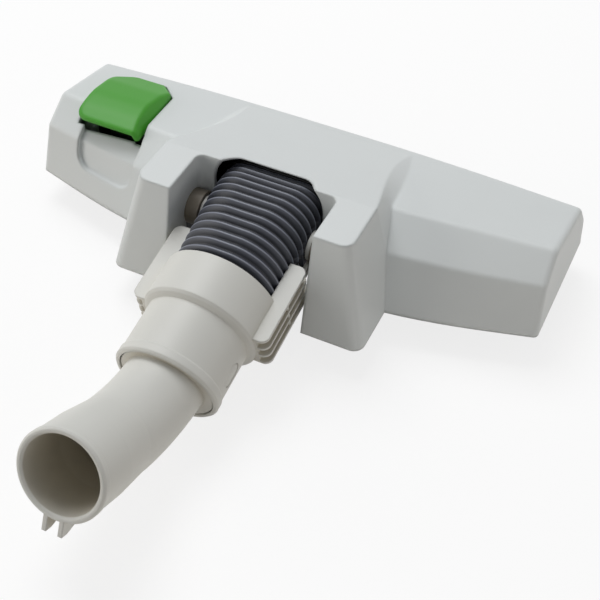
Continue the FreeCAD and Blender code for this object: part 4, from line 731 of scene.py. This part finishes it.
def build_tuft_tree(name, material):
    tree, enter, leave = geometry_tree(name, [
        ("Row Middle", "Vector"), ("Tufts", "Int"), ("Per Tuft", "Int"), ("Pitch", "Float"),
        ("Tuft Width", "Float"), ("Tuft Depth", "Float"), ("Thickness", "Float"), ("Length", "Float"),
        ("Lean", "Float"), ("Seed", "Int")])
    value = enter.outputs

    def chance(low, high, shift):
        node = add(tree, "FunctionNodeRandomValue", data_type="FLOAT")
        feed(tree, node.inputs[2], low)
        feed(tree, node.inputs[3], high)
        feed(tree, node.inputs["Seed"], maths(tree, "ADD", value["Seed"], shift))
        return node.outputs[1]

    total = maths(tree, "MULTIPLY", value["Tufts"], value["Per Tuft"])
    points = fill(tree, add(tree, "GeometryNodePoints"), Count=total)[0]
    index = add(tree, "GeometryNodeInputIndex").outputs[0]
    tuft = maths(tree, "FLOOR", maths(tree, "DIVIDE", index, value["Per Tuft"]))
    middle_tuft = maths(tree, "MULTIPLY", maths(tree, "SUBTRACT", value["Tufts"], 1.0), 0.5)
    along = maths(tree, "MULTIPLY", maths(tree, "SUBTRACT", tuft, middle_tuft), value["Pitch"])
    aside = maths(tree, "MULTIPLY", chance(-0.5, 0.5, 1.0), value["Tuft Width"])
    across = maths(tree, "MULTIPLY", chance(-0.5, 0.5, 2.0), value["Tuft Depth"])
    offset = combined(tree, maths(tree, "ADD", along, aside), across, 0.0)
    placed = step(tree, "GeometryNodeSetPosition", points,
                  Position=vectors(tree, "ADD", value["Row Middle"], offset))

    tip = maths(tree, "MULTIPLY", value["Thickness"], TIP_SHARE)
    hair = fill(tree, add(tree, "GeometryNodeMeshCone", fill_type="NGON"), Vertices=3, Side_Segments=1,
                Radius_Top=tip, Radius_Bottom=value["Thickness"], Depth=value["Length"])["Mesh"]
    lean_x = maths(tree, "MULTIPLY_ADD", chance(-1.0, 1.0, 3.0), value["Lean"], math.pi)
    lean_y = maths(tree, "MULTIPLY", chance(-1.0, 1.0, 4.0), value["Lean"])
    stand = fill(tree, add(tree, "GeometryNodeInstanceOnPoints"), Points=placed, Instance=hair,
                 Rotation=combined(tree, lean_x, lean_y, chance(0.0, ANY_TURN, 5.0)),
                 Scale=combined(tree, 1.0, 1.0, chance(SHORTEST, 1.0, 6.0)))
    close_tree(tree, leave, stand["Instances"], material)
    return tree


bristle_finish = plastic("Bristle nylon", (52, 53, 57), rough=0.36, worn=0.0, dust=0.0, bump=0.0, drift=0.25)
bristle_tree = build_tuft_tree("Tufted Strip", bristle_finish)
print("tree:", bristle_tree.name)

# %% [markdown]
# Each strip's carrier is a plain bar with its edges eased. It is simple enough
# for mesh code: a cube is pulled out between two corners, and its edges are
# bevelled. Bar and tufts then become one mesh, so that they move as one piece.

# %% Helpers for the carrier bars
def eased_bar(name, low, high, ease, material):
    """A bar between two corners, with its edges rounded over."""
    bar = bmesh.new()
    bmesh.ops.create_cube(bar, size=1.0)
    for vertex in bar.verts:
        vertex.co = Vector([(low[i] + high[i]) / 2 + vertex.co[i] * (high[i] - low[i]) for i in range(3)])
    bmesh.ops.bevel(bar, geom=bar.edges[:], offset=ease, segments=3, affect="EDGES", profile=0.5)
    bmesh.ops.recalc_face_normals(bar, faces=bar.faces)
    mesh = bpy.data.meshes.new(name)
    bar.to_mesh(mesh)
    bar.free()
    mesh.materials.append(material)
    piece = bpy.data.objects.new(name, mesh)
    scene.collection.objects.link(piece)
    return piece


def joined_into(name, *parts):
    """Several objects as one mesh, with their materials kept."""
    for other in bpy.context.selected_objects:
        other.select_set(False)
    for part in parts:
        part.select_set(True)
    bpy.context.view_layer.objects.active = parts[0]
    bpy.ops.object.join()
    parts[0].name = name
    parts[0].data.name = name
    return parts[0]


# %% [markdown]
# The tufts are rooted in the bar and hang a little inside the box of the
# measured strip, so they stay off the floor where the solid does. Each strip
# has its own seed, so the two don't look alike. All sizes are in metres.

# %% Bristles: make both strips
CARRIER_HIGH, CARRIER_EASE = 0.003, 0.0005
ROOT_DEPTH, TIP_CLEARANCE, END_MARGIN = 0.0006, 0.0001, 0.003
STRIP_TUFTS = 30

for side, seed in (("rear", 11), ("front", 47)):
    low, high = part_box("bristle_strip_" + side)
    bar_low = high.z - CARRIER_HIGH
    bar = eased_bar("bar_" + side, (low.x, low.y, bar_low), tuple(high), CARRIER_EASE, base_finish)
    hairs = grown("tufts_" + side, bristle_tree, {
        "Row Middle": (0.0, (low.y + high.y) / 2, bar_low + ROOT_DEPTH), "Tufts": STRIP_TUFTS,
        "Per Tuft": 60, "Pitch": (high.x - low.x - END_MARGIN) / STRIP_TUFTS, "Tuft Width": 0.0056,
        "Tuft Depth": 0.0022, "Thickness": 0.00018, "Length": bar_low - low.z - TIP_CLEARANCE,
        "Lean": 0.10, "Seed": seed})
    strip = joined_into("bristles_" + side, bar, hairs)
    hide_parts("bristle_strip_" + side)
    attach(strip, "brush_frame")

# %% [markdown]
# The lint strips are a short directional nap that only lets fluff slide one
# way. The same kind of tree makes it, with tufts that meet, so a field of tiny
# leaning spikes on the strip's face reads as nap even from close by.

# %% Lint nap
NAP_TUFTS, NAP_MARGIN, NAP_SINK, NAP_COVER = 60, 0.001, 0.0004, 0.9

nap_finish = plastic("Lint nap", (138, 42, 40), rough=0.8, worn=0.0, dust=0.25, bump=0.0, drift=0.3)
nap_tree = build_tuft_tree("Lint Nap", nap_finish)
finish_nodes(nap_finish, "lint_strip_rear", "lint_strip_front")
for side, seed in (("rear", 5), ("front", 9)):
    low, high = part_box("lint_strip_" + side)
    nap = grown("lint_nap_" + side, nap_tree, {
        "Row Middle": (0.0, (low.y + high.y) / 2, low.z + NAP_SINK), "Tufts": NAP_TUFTS, "Per Tuft": 70,
        "Pitch": (high.x - low.x - NAP_MARGIN) / NAP_TUFTS, "Tuft Width": (high.x - low.x) / NAP_TUFTS,
        "Tuft Depth": (high.y - low.y) * NAP_COVER, "Thickness": 0.00012, "Length": 0.0008,
        "Lean": 0.35, "Seed": seed})
    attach(nap, "head")

# %% [markdown]
# The part stands on a pale floor that fades into white. A white floor would
# throw too much light back at the part. So the camera, and whatever is seen in
# a gloss, get white, and all other rays get a softer cream. Light Path says
# which ray is asking. Enough plain paint stays in the mix to keep the shadow.

# %% Floor
FLOOR_HALF = 6.0
BOUNCED, SEEN_WHITE = (0.80, 0.75, 0.69, 1.0), (1.0, 1.0, 1.0, 1.0)
GLOW_SHARE = 0.80


def seen_directly(tree):
    """One for a ray from the camera, a gloss or glass, and nought for the rest."""
    path = add(tree, "ShaderNodeLightPath").outputs
    seen = maths(tree, "MAXIMUM", path["Is Camera Ray"], path["Is Glossy Ray"])
    return maths(tree, "MAXIMUM", seen, path["Is Transmission Ray"])


floor_mesh = bpy.data.meshes.new("floor")
corners = [(x * FLOOR_HALF, y * FLOOR_HALF, 0) for x, y in ((-1, -1), (1, -1), (1, 1), (-1, 1))]
floor_mesh.from_pydata(corners, [], [(0, 1, 2, 3)])
floor = bpy.data.objects.new("floor", floor_mesh)
scene.collection.objects.link(floor)
paper = bpy.data.materials.new("Studio floor")
paper.use_nodes = True
sheet = paper.node_tree
sheet.nodes.clear()
seen = seen_directly(sheet)
matt = fill(sheet, add(sheet, "ShaderNodeBsdfDiffuse"), Color=mixed(sheet, seen, BOUNCED, SEEN_WHITE))
glow = fill(sheet, add(sheet, "ShaderNodeEmission"), Strength=1.0)
blend = add(sheet, "ShaderNodeMixShader")
feed(sheet, blend.inputs["Fac"], maths(sheet, "MULTIPLY", seen, GLOW_SHARE))
feed(sheet, blend.inputs[1], matt[0])
feed(sheet, blend.inputs[2], glow[0])
fill(sheet, add(sheet, "ShaderNodeOutputMaterial"), Surface=blend.outputs[0])
floor_mesh.materials.append(paper)
print("floor:", 2 * FLOOR_HALF, "m wide")

# %% [markdown]
# The sky works the same way: white where it is seen, and dim where it lights.
# It fills the shadows evenly, which a few lamps alone couldn't do.

# %% Sky
SKY, SEEN_SKY = 0.27, 1.0
world = bpy.data.worlds.new("studio")
scene.world = world
world.use_nodes = True
sky = world.node_tree
sky.nodes.clear()
strength = maths(sky, "MULTIPLY_ADD", seen_directly(sky), SEEN_SKY - SKY, SKY)
air = fill(sky, add(sky, "ShaderNodeBackground"), Color=(1.0, 1.0, 1.0, 1.0), Strength=strength)
fill(sky, add(sky, "ShaderNodeOutputWorld"), Surface=air[0])
print("sky:", SKY, "where it lights,", SEEN_SKY, "where it is seen")

# %% [markdown]
# Three square lamps do the rest. A large one above, beyond the head and to the
# left, models the forms. A warm one low on the left opens the shadows of the
# rear faces, and a weak one on the right gives that end its tone. Their size
# keeps the shadows soft, which a point lamp wouldn't.

# %% Lamps
def softbox(name, place, aim, size, power, colour):
    """A large square lamp at a place, facing a point."""
    light = bpy.data.lights.new(name, "AREA")
    light.shape, light.size, light.energy, light.color = "SQUARE", size, power, colour
    lamp = bpy.data.objects.new(name, light)
    scene.collection.objects.link(lamp)
    lamp.location = place
    lamp.rotation_euler = (Vector(place) - Vector(aim)).to_track_quat("Z", "Y").to_euler()


softbox("key", (-0.7, 0.8, 1.9), (0.0, 0.0, 0.0), size=1.2, power=28.0, colour=(0.98, 0.99, 1.0))
softbox("fill", (-1.4, -1.0, 0.5), (0.0, 0.0, 0.03), size=1.0, power=9.0, colour=(1.0, 0.97, 0.92))
softbox("side", (1.7, 0.1, 0.3), (0.0, -0.05, 0.03), size=0.8, power=3.5, colour=(1.0, 0.96, 0.92))
scene.view_settings.view_transform = "Standard"
